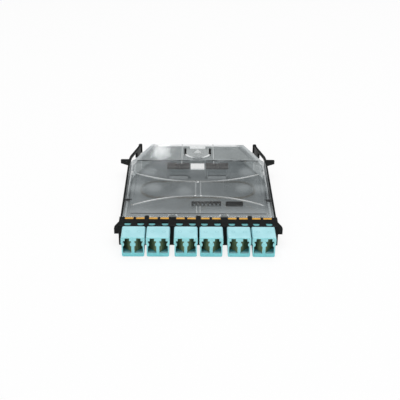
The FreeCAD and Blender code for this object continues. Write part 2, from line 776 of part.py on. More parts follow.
def make_base_tray(doc, sheet, layout):
    """Clear tray: floor plate, tapered walls, two hubs, divider with catch bridge and cable ledges."""
    body = new_body(doc, "base_tray")
    place(body, 0, layout.body_front + sheet.seat_gap)
    floor = sheet.tray_floor

    plate = new_sketch(body, "XY_Plane")
    draw_outline(plate, both_halves(floor_plate_outline(sheet, layout)))
    pad(body, plate, floor)
    outside = new_sketch(body, "XY_Plane")
    draw_outline(outside, both_halves(tray_outline(sheet, layout)))
    pad(body, outside, layout.tray_top)
    inside = new_sketch(body, "XY_Plane", layout.tray_top)
    hollow = tray_outline(sheet, layout, sheet.tray_wall)
    hollow[0] = (hollow[0][0], -1)
    draw_outline(inside, both_halves(hollow))
    pocket(body, inside, layout.tray_top - floor)

    # Tongues that plug into the frame's floor
    tongues = new_sketch(body, "XY_Plane")
    for middle in layout.tongue_places():
        draw_box(tongues, middle - sheet.tongue_width / 2, middle + sheet.tongue_width / 2,
                 -sheet.tongue_length, 1)
    pad(body, tongues, sheet.frame_floor - sheet.seat_gap)

    # Hubs that the fibre slack is wound on, each a ring with four retaining fingers
    fingers = new_sketch(body, "XY_Plane", floor + sheet.hub_height - sheet.hub_finger_height)
    rings = new_sketch(body, "XY_Plane", floor)
    finger_half = sheet.hub_finger_width / 2
    for side in (-1, 1):
        centre = (side * sheet.hub_place_across, sheet.hub_place_back)
        draw_circle(rings, centre, sheet.hub_radius)
        draw_circle(rings, centre, sheet.hub_radius - sheet.tray_wall)
        for way in (-1, 1):
            near = centre[0] + way * (sheet.hub_radius - sheet.tray_wall / 2)
            far = centre[0] + way * (sheet.hub_radius + sheet.hub_finger)
            left, right = (near, far) if way > 0 else (far, near)
            draw_box(fingers, left, right, centre[1] - finger_half, centre[1] + finger_half)
            close = centre[1] + way * (sheet.hub_radius - sheet.tray_wall / 2)
            away = centre[1] + way * (sheet.hub_radius + sheet.hub_finger)
            low, high = (close, away) if way > 0 else (away, close)
            draw_box(fingers, centre[0] - finger_half, centre[0] + finger_half, low, high)
    pad(body, rings, sheet.hub_height)
    pad(body, fingers, sheet.hub_finger_height)

    # Divider in front of the cable chamber: a window under the catch bridge and two cable slots
    divider = new_sketch(body, "XZ_Plane", -sheet.divider_place)
    wall_end = layout.tray_rear_half - sheet.divider_inset
    draw_box(divider, -wall_end, wall_end, floor - 0.1, layout.tray_top)
    pad(body, divider, sheet.tray_wall, backwards=True)
    cuts = new_sketch(body, "XZ_Plane", -sheet.divider_place)
    bridge_bottom = layout.tray_top - sheet.catch_bridge
    draw_box(cuts, -sheet.catch_opening, sheet.catch_opening, floor, bridge_bottom)
    for side in (-1, 1):
        middle = side * (sheet.pad_inner + sheet.pad_outer) / 2
        draw_box(cuts, middle - sheet.cable_slot / 2, middle + sheet.cable_slot / 2,
                 sheet.ledge_top, layout.tray_top + 1)
    pocket(body, cuts, sheet.tray_wall)

    # Ledges that carry the cable pads, cored out from below
    ledges = new_sketch(body, "XY_Plane", floor - 0.1)
    cores = new_sketch(body, "XY_Plane")
    ledge_front = sheet.pad_front
    for side in (-1, 1):
        near, far = side * sheet.pad_inner, side * sheet.pad_outer
        left, right = (near, far) if side > 0 else (far, near)
        draw_box(ledges, left, right, ledge_front, sheet.divider_place + 0.1)
        draw_box(cores, left + sheet.tray_wall, right - sheet.tray_wall,
                 ledge_front + sheet.tray_wall, sheet.divider_place - sheet.tray_wall + 0.1)
    pad(body, ledges, sheet.ledge_top - floor + 0.1)
    pocket(body, cores, sheet.ledge_top - sheet.tray_wall, backwards=True)

    # Floor window behind the catch bridge and snap blocks beside the cover's clip windows
    window = new_sketch(body, "XY_Plane", floor)
    draw_box(window, -sheet.catch_window_width / 2, sheet.catch_window_width / 2,
             sheet.catch_window_front, sheet.catch_window_back)
    pocket(body, window, floor)
    snaps = new_sketch(body, "XY_Plane", floor - 0.1)
    for side in (-1, 1):
        near = side * (layout.tray_rear_half - sheet.tray_wall - sheet.snap_width)
        far = side * (layout.tray_rear_half - sheet.tray_wall / 2)
        left, right = (near, far) if side > 0 else (far, near)
        draw_box(snaps, left, right, sheet.clip_front + 1, sheet.clip_front + sheet.clip_length - 1)
    pad(body, snaps, layout.tray_top - floor + 0.1)
    return body


def cover_half_outline(sheet, layout):
    return [(layout.cover_half, 0), (layout.cover_half, sheet.straight_length),
            (sheet.rear_half, sheet.body_length - sheet.seat_gap)]


def make_top_cover(doc, sheet, layout):
    """Clear cover hinged on the frame's outer tabs: notched front, curved ridges, lower rear step."""
    body = new_body(doc, "top_cover")
    place(body, 0, layout.body_front + sheet.seat_gap)
    top = sheet.frame_height
    bottom = layout.cover_bottom

    plate = new_sketch(body, "XY_Plane", bottom)
    draw_outline(plate, both_halves(cover_half_outline(sheet, layout)))
    pad(body, plate, sheet.cover_thickness)

    # The rear part lies a step lower
    step = new_sketch(body, "XY_Plane", top)
    draw_box(step, -sheet.frame_width / 2, sheet.frame_width / 2,
             sheet.cover_step_place, sheet.body_length + 1)
    pocket(body, step, sheet.cover_step_drop)

    # Notches behind the frame's webs, the narrow ones round its tabs
    notches = new_sketch(body, "XY_Plane", top)
    notch_end = sheet.notch_depth
    for middle, width in layout.gap_webs():
        reach = width / 2 + sheet.notch_gap
        draw_outline(notches, [(middle - reach, -1), (middle + reach, -1),
                               (middle + reach, notch_end - sheet.tab_round),
                               (middle + reach - 0.5 * sheet.tab_round, notch_end),
                               (middle - reach + 0.5 * sheet.tab_round, notch_end),
                               (middle - reach, notch_end - sheet.tab_round)])
    pocket(body, notches, sheet.cover_thickness)
    nose_round = sheet.cover_thickness / 2 - 0.05
    round_edges(doc, body, nose_round, crosswise_at([(0, top), (0, bottom)]))

    # Hinge holes beside the two outer notches
    axis = (layout.hinge_back - sheet.seat_gap, layout.hinge_height)
    for middle, width in layout.hinge_tabs():
        holes = new_sketch(body, "YZ_Plane", middle)
        draw_circle(holes, axis, sheet.hinge_pin + sheet.running_gap)
        pocket(body, holes, width + 2 * sheet.hinge_pin_reach + 0.4, middle=True)

    # Fine groove along the front, edge slots and side clip windows
    groove = new_sketch(body, "XY_Plane", top)
    groove_end = layout.cover_half - sheet.groove_inset
    draw_box(groove, -groove_end, groove_end, sheet.groove_front, sheet.groove_front + sheet.groove_width)
    pocket(body, groove, sheet.groove_depth)
    windows = new_sketch(body, "XY_Plane", top)
    for side in (-1, 1):
        near, far = side * (layout.cover_half - sheet.edge_slot_length), side * (layout.cover_half + 1)
        left, right = (near, far) if side > 0 else (far, near)
        draw_box(windows, left, right, sheet.edge_slot_front, sheet.edge_slot_front + sheet.edge_slot_width)
        far = side * (layout.cover_half - sheet.clip_inset)
        near = side * (layout.cover_half - sheet.clip_inset - sheet.clip_width)
        left, right = (near, far) if side > 0 else (far, near)
        draw_box(windows, left, right, sheet.clip_front, sheet.clip_front + sheet.clip_length)
    pocket(body, windows, sheet.cover_thickness)

    # Opening for the sliding catch and seats for its two guides
    opening = new_sketch(body, "XY_Plane", top)
    half = sheet.latch_half + sheet.latch_gap
    front = sheet.latch_front - sheet.latch_gap
    back = sheet.latch_front + sheet.latch_length + sheet.latch_travel + sheet.latch_gap
    draw_box(opening, -half, half, front, back)
    pocket(body, opening, sheet.cover_thickness)
    round_edges(doc, body, sheet.latch_round + sheet.latch_gap, upright_at([(-half, front), (half, front)]))
    seats = new_sketch(body, "XY_Plane", top)
    seat_front = guide_front(sheet) - sheet.seat_gap
    for side in (-1, 1):
        near, far = side * (half - 0.5), side * (half + sheet.guide_width + sheet.seat_gap)
        left, right = (near, far) if side > 0 else (far, near)
        draw_box(seats, left, right, seat_front, seat_front + sheet.guide_length + 2 * sheet.seat_gap)
    pocket(body, seats, sheet.cover_thickness)

    # Two curved ridges that taper to points, bowed towards each other
    lower = new_sketch(body, "XY_Plane", top - 0.1)
    lower_end = sheet.lower_ridge_place - ridge_sag(sheet, sheet.lower_ridge_outer)
    draw_crescent(lower, sheet.ridge_reach, lower_end,
                  (sheet.lower_ridge_outer, sheet.lower_ridge_inner), upward=True)
    pad(body, lower, sheet.ridge_height + 0.1)
    upper = new_sketch(body, "XY_Plane", top - 0.1)
    upper_end = sheet.upper_ridge_place + ridge_sag(sheet, sheet.upper_ridge_outer)
    draw_crescent(upper, sheet.ridge_reach, upper_end,
                  (sheet.upper_ridge_outer, sheet.upper_ridge_inner), upward=False)
    pad(body, upper, sheet.ridge_height + 0.1)

    # Centre rib between the ridges, short ribs at the front edge and long ribs at the rear
    ribs = new_sketch(body, "XY_Plane", top - 0.1)
    front_rib_start = sheet.groove_front + sheet.groove_width + 0.3
    for side in (-1, 1):
        middle = side * sheet.middle_rib_place
        draw_box(ribs, middle - sheet.middle_rib_width / 2, middle + sheet.middle_rib_width / 2,
                 sheet.lower_ridge_place + 0.9, sheet.upper_ridge_place - 0.9)
        middle = side * sheet.front_rib_place
        draw_box(ribs, middle - sheet.front_rib_width / 2, middle + sheet.front_rib_width / 2,
                 front_rib_start, sheet.front_rib_end)
    pad(body, ribs, sheet.rib_height + 0.1)
    rear_ribs = new_sketch(body, "XY_Plane", top - sheet.cover_step_drop - 0.1)
    rib_back = sheet.body_length - 1
    for side in (-1, 1):
        middle = side * sheet.rear_rib_place
        left, right = middle - sheet.rear_rib_width / 2, middle + sheet.rear_rib_width / 2
        full = sheet.rear_rib_tip + sheet.rear_rib_point
        draw_outline(rear_ribs, [(left, full), (middle, sheet.rear_rib_tip), (right, full),
                                 (right, rib_back), (left, rib_back)])
    pad(body, rear_ribs, sheet.cover_step_drop + sheet.rib_height + 0.1)

    # Locating lips inside the tray's walls
    lips = new_sketch(body, "XY_Plane", bottom + 0.1)
    lip_outer = layout.tray_rear_half - sheet.tray_wall - sheet.lip_gap
    for side in (-1, 1):
        near, far = side * (lip_outer - sheet.lip_width), side * lip_outer
        left, right = (near, far) if side > 0 else (far, near)
        draw_box(lips, left, right, sheet.lip_front, sheet.clip_front - 2)
    rear_lip = sheet.body_length - sheet.tray_wall - sheet.lip_width - 0.8
    lip_half = sheet.rear_half - 6
    draw_box(lips, -lip_half, lip_half, rear_lip, rear_lip + sheet.lip_width)
    pad(body, lips, sheet.lip_depth + 0.1, backwards=True)
    return body


def ridge_sag(sheet, radius):
    """How far a ridge's ends lie from its middle, from the arc's radius and reach."""
    text = "(%s - sqrt(%s^2 - %s^2))" % (radius.text, radius.text, sheet.ridge_reach.text)
    number = radius.number - math.sqrt(radius.number ** 2 - sheet.ridge_reach.number ** 2)
    return Size(number, text)


def guide_front(sheet):
    return sheet.latch_front + sheet.guide_setback


def make_cover_latch(doc, sheet, layout):
    """Clear D-shaped slide with a raised triangle, side tongues and a toe under the catch bridge."""
    body = new_body(doc, "cover_latch")
    place(body, 0, layout.body_front + sheet.seat_gap)
    half = sheet.latch_half
    front, back = sheet.latch_front, sheet.latch_front + sheet.latch_length
    bottom = layout.cover_bottom
    top = sheet.frame_height - sheet.cover_step_drop

    plate = new_sketch(body, "XY_Plane", bottom)
    draw_box(plate, -half, half, front, back)
    pad(body, plate, top - bottom)
    round_edges(doc, body, sheet.latch_round, upright_at([(-half, front), (half, front)]))

    tongues = new_sketch(body, "XY_Plane", bottom + 0.3)
    tongue_front = guide_front(sheet) + 0.5
    tongue_length = sheet.guide_length - sheet.latch_travel - 1.0
    draw_box(tongues, -half - sheet.latch_tongue, half + sheet.latch_tongue,
             tongue_front, tongue_front + tongue_length)
    pad(body, tongues, 0.4)

    arrow = new_sketch(body, "XY_Plane", top - 0.05)
    arrow_front = front + sheet.arrow_front
    draw_outline(arrow, [(-sheet.arrow_half, arrow_front), (sheet.arrow_half, arrow_front),
                         (0, front + sheet.arrow_back)])
    pad(body, arrow, 0.3)

    # The toe stands just behind the catch bridge, clear of it so that the cover can be lifted
    toe = new_sketch(body, "YZ_Plane")
    toe_front = sheet.divider_place + sheet.tray_wall + 0.3
    toe_top = layout.tray_top - sheet.catch_bridge
    draw_outline(toe, [(front + 1.6, bottom + 0.1), (front + 1.6, toe_top), (toe_front, toe_top),
                       (toe_front, toe_top - 0.7), (front + 2.2, toe_top - 1.1),
                       (front + 3.0, toe_top - 0.4), (front + 3.0, bottom + 0.1)])
    pad(body, toe, sheet.toe_width, middle=True)
    return body


def make_latch_guide(doc, sheet, layout, side, label):
    """Black guide beside the sliding catch, with a groove for the catch's tongue."""
    body = new_body(doc, label)
    place(body, 0, layout.body_front + sheet.seat_gap)
    front = guide_front(sheet)
    bottom = layout.cover_bottom
    near = side * (sheet.latch_half + sheet.latch_gap)
    far = side * (sheet.latch_half + sheet.latch_gap + sheet.guide_width)
    left, right = (near, far) if side > 0 else (far, near)
    block = new_sketch(body, "XY_Plane", bottom)
    draw_box(block, left, right, front, front + sheet.guide_length)
    pad(body, block, sheet.cover_thickness - 0.1)
    groove = new_sketch(body, "XY_Plane", bottom + 0.2)
    mouth, end = side * (sheet.latch_half - 1), side * (sheet.latch_half + sheet.latch_tongue + 0.1)
    left, right = (mouth, end) if side > 0 else (end, mouth)
    draw_box(groove, left, right, front + 0.4, front + sheet.guide_length - 0.4)
    pocket(body, groove, 0.6, backwards=True)
    return body


def arm_pivot_across(sheet, layout):
    """The arm's bead stands in the middle of the arm's thickness."""
    return layout.arm_inner + sheet.arm_thickness / 2 - 0.15


def make_latch_arm(doc, sheet, layout, side, label):
    """Black spring arm: bead in the frame, straight run, outward lug, inward bend and finger grip."""
    body = new_body(doc, label)
    pivot_across = arm_pivot_across(sheet, layout)
    pivot_back = sheet.adapter_proud + sheet.arm_pivot
    place(body, side * pivot_across, layout.front_face + pivot_back)
    inner = layout.arm_inner - pivot_across
    outer = inner + sheet.arm_thickness
    lug_back = sheet.lug_front + sheet.lug_length - pivot_back
    lug_front = sheet.lug_front - pivot_back
    depth = sheet.adapter_proud + sheet.frame_depth + sheet.body_length + sheet.grip_overhang
    grip_back = depth - sheet.grip_radius - pivot_back
    grip_across = sheet.grip_reach - pivot_across
    thick = sheet.arm_thickness

    # The plan of the arm: its bend is a share of the way from the lug to the grip
    run = grip_back - lug_back
    lean = outer - thick / 2 - grip_across
    bend_outer = [(outer, lug_back)]
    for inward, onward in ((0.09, 0.2), (0.44, 0.5), (0.75, 0.75)):
        bend_outer.append((outer - lean * inward, lug_back + run * onward))
    bend_inner = [(across - thick, back - thick * 0.3) for across, back in bend_outer[1:]]
    plan = ([(inner, 0), (outer, 0)] + bend_outer + [(grip_across + thick / 2, grip_back),
            (grip_across - thick / 2, grip_back)] + list(reversed(bend_inner)) + [(inner, lug_back - 0.6)])
    strip = new_sketch(body, "XY_Plane", sheet.arm_bottom)
    draw_outline(strip, [(side * across, back) for across, back in plan])
    pad(body, strip, sheet.arm_top - sheet.arm_bottom)
    bends = [(side * across, back) for across, back in bend_outer[1:] + bend_inner]
    round_edges(doc, body, 3.0, upright_at(bends))

    # Behind the lug the strip is cut down to a thin spring, and is tall again beside the grip
    thinned = new_sketch(body, "XY_Plane", sheet.arm_bottom)
    near, far = side * (grip_across - 1), side * (outer + 1)
    left, right = (near, far) if side > 0 else (far, near)
    draw_box(thinned, left, right, lug_back + 0.2, grip_back - sheet.grip_length)
    pocket(body, thinned, sheet.arm_top - sheet.arm_bottom - sheet.bend_height, backwards=True)

    ends = new_sketch(body, "XY_Plane", sheet.arm_bottom)
    draw_circle(ends, (0, 0), sheet.arm_bead)
    draw_circle(ends, (side * grip_across, grip_back), sheet.grip_radius)
    pad(body, ends, sheet.arm_top - sheet.arm_bottom)

    # The lug's front edge slants back towards its tip
    lug = new_sketch(body, "XY_Plane", sheet.arm_top - sheet.lug_height)
    tip = outer + sheet.lug_reach
    root = inner + 0.2
    draw_outline(lug, [(side * root, lug_front), (side * outer, lug_front),
                       (side * tip, lug_front + sheet.lug_taper), (side * tip, lug_back),
                       (side * root, lug_back)])
    pad(body, lug, sheet.lug_height)
    lug_corners = [(side * tip, lug_front + sheet.lug_taper), (side * tip, lug_back)]
    round_edges(doc, body, 0.9, upright_at(lug_corners))
    return body


def make_splice_comb(doc, sheet, layout):
    """Black comb whose slots hold the splices: a spine at the back and a row of teeth."""
    body = new_body(doc, "splice_comb")
    place(body, sheet.comb_left, layout.body_front + sheet.comb_front, sheet.tray_floor)
    foot = new_sketch(body, "XY_Plane")
    draw_box(foot, 0, sheet.comb_width, 0, sheet.comb_depth)
    pad(body, foot, sheet.comb_foot)
    spine = new_sketch(body, "XY_Plane", sheet.comb_foot - 0.1)
    draw_box(spine, 0, sheet.comb_width, sheet.comb_depth - sheet.comb_spine, sheet.comb_depth)
    pad(body, spine, sheet.comb_height - sheet.comb_foot + 0.1)
    teeth = new_sketch(body, "XY_Plane", sheet.comb_foot - 0.1)
    count = 8
    pitch = (sheet.comb_width - sheet.comb_tooth) / (count - 1)
    for index in range(count):
        left = index * pitch
        draw_box(teeth, left, left + sheet.comb_tooth, 0, sheet.comb_depth - 0.2)
    pad(body, teeth, sheet.comb_height - sheet.comb_foot - 0.2)
    return body


def make_fanout_block(doc, sheet, layout):
    """Black block with rounded ends where the cable's fibres part."""
    body = new_body(doc, "fanout_block")
    place(body, sheet.fanout_left, layout.body_front + sheet.comb_front, sheet.tray_floor)
    block = new_sketch(body, "XY_Plane")
    draw_box(block, 0, sheet.fanout_width, 0, sheet.comb_depth)
    pad(body, block, sheet.comb_height)
    corners = [(across, back) for across in (0, sheet.fanout_width) for back in (0, sheet.comb_depth)]
    round_edges(doc, body, sheet.fanout_round, upright_at(corners))
    slots = new_sketch(body, "YZ_Plane", sheet.fanout_width / 2)
    groove_half = sheet.fanout_groove / 2
    for index in range(2):
        middle = sheet.comb_depth * (index + 1) / 3
        draw_box(slots, middle - groove_half, middle + groove_half,
                 sheet.comb_height - sheet.fanout_groove, sheet.comb_height + 1)
    pocket(body, slots, sheet.fanout_width + 2, middle=True)
    return body


def make_cable_pad(doc, sheet, layout, side, label):
    """Dark rubber pad on its ledge, notched where the cable passes."""
    body = new_body(doc, label)
    place(body, 0, layout.body_front + sheet.seat_gap, sheet.ledge_top)
    near, far = side * (sheet.pad_inner + 0.1), side * (sheet.pad_outer - 0.1)
    left, right = (near, far) if side > 0 else (far, near)
    block = new_sketch(body, "XY_Plane")
    front = sheet.pad_front + 0.1
    draw_box(block, left, right, front, front + sheet.pad_depth)
    pad(body, block, sheet.pad_height)
    middle = side * (sheet.pad_inner + sheet.pad_outer) / 2
    groove = new_sketch(body, "XZ_Plane", -front)
    draw_circle(groove, (middle, sheet.pad_height + 0.9), sheet.pad_groove)
    pocket(body, groove)
    return body


def make_pigtail_loop(doc, sheet, layout):
    """The fibre slack as one closed loop round both hubs, two straight runs and two half turns."""
    piece = doc.addObject("Part::Feature", "pigtail_loop")
    piece.Label = "pigtail_loop"
    thickness = sheet.loop_thickness.number
    turn = sheet.hub_radius.number + sheet.loop_clear.number + thickness / 2
    reach = sheet.hub_place_across.number
    corners = {side: FreeCAD.Vector(side * reach, turn, 0) for side in (-1, 1)}
    runs = []
    for way in (-1, 1):
        start = FreeCAD.Vector(-way * reach, way * turn, 0)
        end = FreeCAD.Vector(way * reach, way * turn, 0)
        outermost = FreeCAD.Vector(way * (reach + turn), 0, 0)
        runs.append(Part.LineSegment(start, end).toShape())
        runs.append(Part.Arc(end, outermost, FreeCAD.Vector(way * reach, -way * turn, 0)).toShape())
    route = Part.Wire(Part.__sortEdges__(runs))
    ring = Part.Circle(FreeCAD.Vector(0, -turn, 0), FreeCAD.Vector(1, 0, 0), thickness / 2)
    profile = Part.Wire([ring.toShape()])
    loop = route.makePipeShell([profile], True, True)
    piece.Shape = loop
    height = sheet.tray_floor.number + thickness / 2 + sheet.seat_gap.number
    back = layout.body_front.number + sheet.seat_gap.number + sheet.hub_place_back.number
    piece.Placement = FreeCAD.Placement(FreeCAD.Vector(0, back, height), FreeCAD.Rotation())
    return piece


def check_document(doc, pieces):
    """Stop if any object failed or any piece is empty or not a valid solid."""
    for item in doc.Objects:
        if "Invalid" in item.State or "Error" in item.State:
            raise RuntimeError("%s failed: %s" % (item.Label, item.State))
    for piece in pieces:
        shape = piece.Shape
        if shape.isNull() or not shape.isValid() or shape.Volume <= 0:
            raise RuntimeError("%s has no valid solid" % piece.Label)
        print("%-20s solids %d faces %4d volume %9.2f" % (
            piece.Label, len(shape.Solids), len(shape.Faces), shape.Volume))


def main():
    doc = FreeCAD.newDocument("fibre_cassette")
    sheet = Sheet(doc)
    layout = Layout(sheet)
    doc.recompute()

    pieces = [make_front_frame(doc, sheet, layout)]
    for number in range(1, len(layout.adapter_places) + 1):
        pieces.append(make_adapter(doc, sheet, layout, number))
    for number in range(1, 2 * len(layout.adapter_places) + 1):
        pieces.append(make_shutter(doc, sheet, layout, number))
        pieces.append(make_alignment_sleeve(doc, sheet, layout, number))
        pieces.append(make_inner_plug(doc, sheet, layout, number))
    pieces.append(make_base_tray(doc, sheet, layout))
    pieces.append(make_top_cover(doc, sheet, layout))
    pieces.append(make_cover_latch(doc, sheet, layout))
    for side, word in ((-1, "left"), (1, "right")):
        pieces.append(make_latch_guide(doc, sheet, layout, side, "latch_guide_" + word))
        pieces.append(make_latch_arm(doc, sheet, layout, side, "latch_arm_" + word))
        pieces.append(make_cable_pad(doc, sheet, layout, side, "cable_pad_" + word))
    pieces.append(make_splice_comb(doc, sheet, layout))
    pieces.append(make_fanout_block(doc, sheet, layout))
    pieces.append(make_pigtail_loop(doc, sheet, layout))

    doc.recompute()
    check_document(doc, pieces)
    os.makedirs("parts", exist_ok=True)
    for piece in pieces:
        piece.Shape.exportStep("parts/%s.step" % piece.Label)


main()
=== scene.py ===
import bpy
import math
import numpy as np
from mathutils import Euler, Matrix, Vector


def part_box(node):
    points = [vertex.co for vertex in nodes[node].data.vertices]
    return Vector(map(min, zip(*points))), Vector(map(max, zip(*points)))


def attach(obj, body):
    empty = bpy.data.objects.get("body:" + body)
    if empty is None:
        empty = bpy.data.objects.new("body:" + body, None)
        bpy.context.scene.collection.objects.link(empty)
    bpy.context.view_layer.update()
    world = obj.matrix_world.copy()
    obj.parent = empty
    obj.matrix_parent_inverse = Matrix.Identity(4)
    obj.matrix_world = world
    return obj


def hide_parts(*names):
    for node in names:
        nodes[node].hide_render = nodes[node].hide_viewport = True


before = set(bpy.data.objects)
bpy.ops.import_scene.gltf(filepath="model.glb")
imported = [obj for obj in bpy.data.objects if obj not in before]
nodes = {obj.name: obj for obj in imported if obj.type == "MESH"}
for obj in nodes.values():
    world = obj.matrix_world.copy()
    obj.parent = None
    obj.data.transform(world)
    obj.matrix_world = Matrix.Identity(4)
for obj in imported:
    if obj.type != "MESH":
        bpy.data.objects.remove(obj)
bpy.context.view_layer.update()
print("frame loaded:", len(nodes), "pieces from the solid model")

# the picture is 400 wide and 400 high, and looks down on the cassette from the front
cameraSetting = {
    "place": (-0.00438, -0.42978, 0.2499),
    "lens": 73.44,
    "sensor": 36.0,
    "elevation": 30.0,
    "turn": -0.755,
    "roll": 0.665,
    "nearest": 0.01,
    "clearLayers": 32,
}


def setCamera(setting):
    data = bpy.data.cameras.new("camera")
    data.lens = setting["lens"]
    data.sensor_width = setting["sensor"]
    data.clip_start = setting["nearest"]
    camera = bpy.data.objects.new("camera", data)
    camera.location = setting["place"]
    tilt = math.radians(90 - setting["elevation"])
    aimed = Euler((tilt, 0, math.radians(setting["turn"]))).to_matrix()
    rolled = Matrix.Rotation(math.radians(setting["roll"]), 3, "Z")
    camera.rotation_euler = (aimed @ rolled).to_euler()
    scene = bpy.context.scene
    scene.collection.objects.link(camera)
    scene.camera = camera
    scene.view_settings.view_transform = "Standard"
    # the clear pieces lie over each other
    scene.cycles.transparent_max_bounces = setting["clearLayers"]


setCamera(cameraSetting)
print("camera set")


# helpers that add shader nodes
def addNode(tree, kind, inputs=None, **settings):
    node = tree.nodes.new("ShaderNode" + kind)
    for key, value in settings.items():
        setattr(node, key, value)
    for key, value in (inputs or {}).items():
        if isinstance(value, bpy.types.NodeSocket):
            tree.links.new(value, node.inputs[key])
        else:
            node.inputs[key].default_value = value
    return node


def emptyFinish(name):
    finish = bpy.data.materials.new(name)
    finish.use_nodes = True
    tree = finish.node_tree
    tree.nodes.clear()
    return finish, tree, addNode(tree, "OutputMaterial")


def addShader(tree, **constants):
    shader = addNode(tree, "BsdfPrincipled")
    for key, value in constants.items():
        shader.inputs[key.replace("_", " ")].default_value = value
    return shader


def newFinish(name, **constants):
    finish, tree, output = emptyFinish(name)
    shader = addShader(tree, **constants)
    tree.links.new(shader.outputs[0], output.inputs["Surface"])
    return finish, tree, shader


def calc(tree, kind, first, second=0.0):
    return addNode(tree, "Math", {0: first, 1: second}, operation=kind).outputs[0]


def times(tree, first, *others):
    for other in others:
        first = calc(tree, "MULTIPLY", first, other)
    return first


def plus(tree, first, *others):
    for other in others:
        first = calc(tree, "ADD", first, other)
    return first


def minus(tree, first, second):
    return calc(tree, "SUBTRACT", first, second)


def largest(tree, first, *others):
    for other in others:
        first = calc(tree, "MAXIMUM", first, other)
    return first


# a value's way from fromLow to fromHigh, carried over to the way from low to high, and held at the ends
def spread(tree, value, fromLow, fromHigh, low, high, smooth=False):
    kind = "SMOOTHSTEP" if smooth else "LINEAR"
    inputs = {"Value": value, "From Min": fromLow, "From Max": fromHigh, "To Min": low, "To Max": high}
    return addNode(tree, "MapRange", inputs, interpolation_type=kind).outputs["Result"]


# 0 below a place, 1 from a margin beyond it on
def past(tree, value, place, margin):
    return spread(tree, value, place, place + margin, 0.0, 1.0)


# 1 up to a place, 0 from a margin beyond it on
def upTo(tree, value, place, margin):
    return spread(tree, value, place, place + margin, 1.0, 0.0)


# 1 where a value lies between low and high, falling to 0 over a soft margin on either side
def band(tree, value, low, high, soft):
    return calc(tree, "MINIMUM", past(tree, value, low - soft, soft), upTo(tree, value, high, soft))


def objectPlace(tree, move=(0, 0, 0), stretch=(1, 1, 1)):
    place = addNode(tree, "TexCoord").outputs["Object"]
    return addNode(tree, "Mapping", {"Vector": place, "Location": move, "Scale": stretch}).outputs[0]


def axes(tree, place):
    split = addNode(tree, "SeparateXYZ", {0: place})
    return split.outputs[0], split.outputs[1], split.outputs[2]


def cloud(tree, place, scale, detail=3.0, rough=0.5):
    inputs = {"Vector": place, "Scale": scale, "Detail": detail, "Roughness": rough}
    return addNode(tree, "TexNoise", inputs).outputs["Fac"]


def twoTone(tree, factor, first, second):
    mix = addNode(tree, "Mix", data_type="RGBA")
    tree.links.new(factor, mix.inputs[0])
    for socket, colour in ((mix.inputs[6], first), (mix.inputs[7], second)):
        if isinstance(colour, bpy.types.NodeSocket):
            tree.links.new(colour, socket)
        else:
            socket.default_value = (*colour, 1)
    return mix.outputs[2]


# most of a cloud's values lie between these
cloudRange = (0.35, 0.65)
solidIor = 1.5


# the first tone where a cloud is low and the second where it is high
def mottled(tree, clouds, first, second):
    return twoTone(tree, spread(tree, clouds, *cloudRange, 0.0, 1.0), first, second)


# rounded normals near edges, and how far they turn from the flat ones
def softEdge(tree, radius):
    rounded = addNode(tree, "Bevel", {"Radius": radius}, samples=4).outputs[0]
    flat = addNode(tree, "NewGeometry").outputs["Normal"]
    turn = addNode(tree, "VectorMath", {0: rounded, 1: flat}, operation="DOT_PRODUCT").outputs["Value"]
    return rounded, spread(tree, turn, 1.0, 0.8, 0.0, 1.0)


def addBump(tree, height, strength, depth, rounded=None):
    inputs = {"Height": height, "Strength": strength, "Distance": depth}
    if rounded:
        inputs["Normal"] = rounded
    return addNode(tree, "Bump", inputs).outputs[0]


# roughness between two bounds as the grain goes, and a height as a bump
def roughen(tree, shader, setting, grain, height, rounded=None):
    rough = spread(tree, grain, 0.2, 0.8, *setting["roughness"])
    tree.links.new(rough, shader.inputs["Roughness"])
    bump = addBump(tree, height, *setting["bump"], rounded)
    tree.links.new(bump, shader.inputs["Normal"])


# the distance of (across, back) from the origin
def lengthOf(tree, across, back):
    flat = addNode(tree, "CombineXYZ", {0: across, 1: back}).outputs[0]
    return addNode(tree, "VectorMath", {0: flat}, operation="LENGTH").outputs["Value"]


# 1 within three tenths of a radius from the nearest of some points, falling softly to 0 at the radius
def dots(tree, across, back, points, radius):
    flat = addNode(tree, "CombineXYZ", {0: across, 1: back}).outputs[0]
    spots = []
    for point in points:
        inputs = {0: flat, 1: (point[0], point[1], 0.0)}
        far = addNode(tree, "VectorMath", inputs, operation="DISTANCE").outputs["Value"]
        spots.append(spread(tree, far, radius * 0.3, radius, 1.0, 0.0, True))
    return largest(tree, *spots)


# a linear colour from its six hex digits: c/12.92 below 0.04045, else ((c + 0.055)/1.055)^2.4
def srgb(code):
    values = np.array([int(code[i:i + 2], 16) for i in (0, 2, 4)]) / 255
    return tuple(np.where(values <= 0.04045, values / 12.92, ((values + 0.055) / 1.055) ** 2.4))


# a surface whose point (i, j) is points[i, j]: each cell of the grid is one quad, and closing it
# joins its last column to its first
def meshFromGrid(name, points, closeV=False):
    rows, columns = points.shape[:2]
    number = np.arange(rows * columns).reshape(rows, columns)
    if closeV:
        number = np.hstack([number, number[:, :1]])
    quads = np.stack([number[:-1, :-1], number[1:, :-1], number[1:, 1:], number[:-1, 1:]], -1)
    return meshFromParts(name, points.reshape(-1, 3), quads.reshape(-1, 4))


def meshFromParts(name, points, quads):
    mesh = bpy.data.meshes.new(name)
    mesh.vertices.add(len(points))
    mesh.vertices.foreach_set("co", np.asarray(points, np.float32).ravel())
    mesh.loops.add(quads.size)
    mesh.loops.foreach_set("vertex_index", quads.astype(np.int32).ravel())
    mesh.polygons.add(len(quads))
    mesh.polygons.foreach_set("loop_start", np.arange(len(quads), dtype=np.int32) * 4)
    mesh.polygons.foreach_set("use_smooth", np.full(len(quads), True))
    mesh.update(calc_edges=True)
    mesh.validate()
    piece = bpy.data.objects.new(name, mesh)
    bpy.context.scene.collection.objects.link(piece)
    return piece


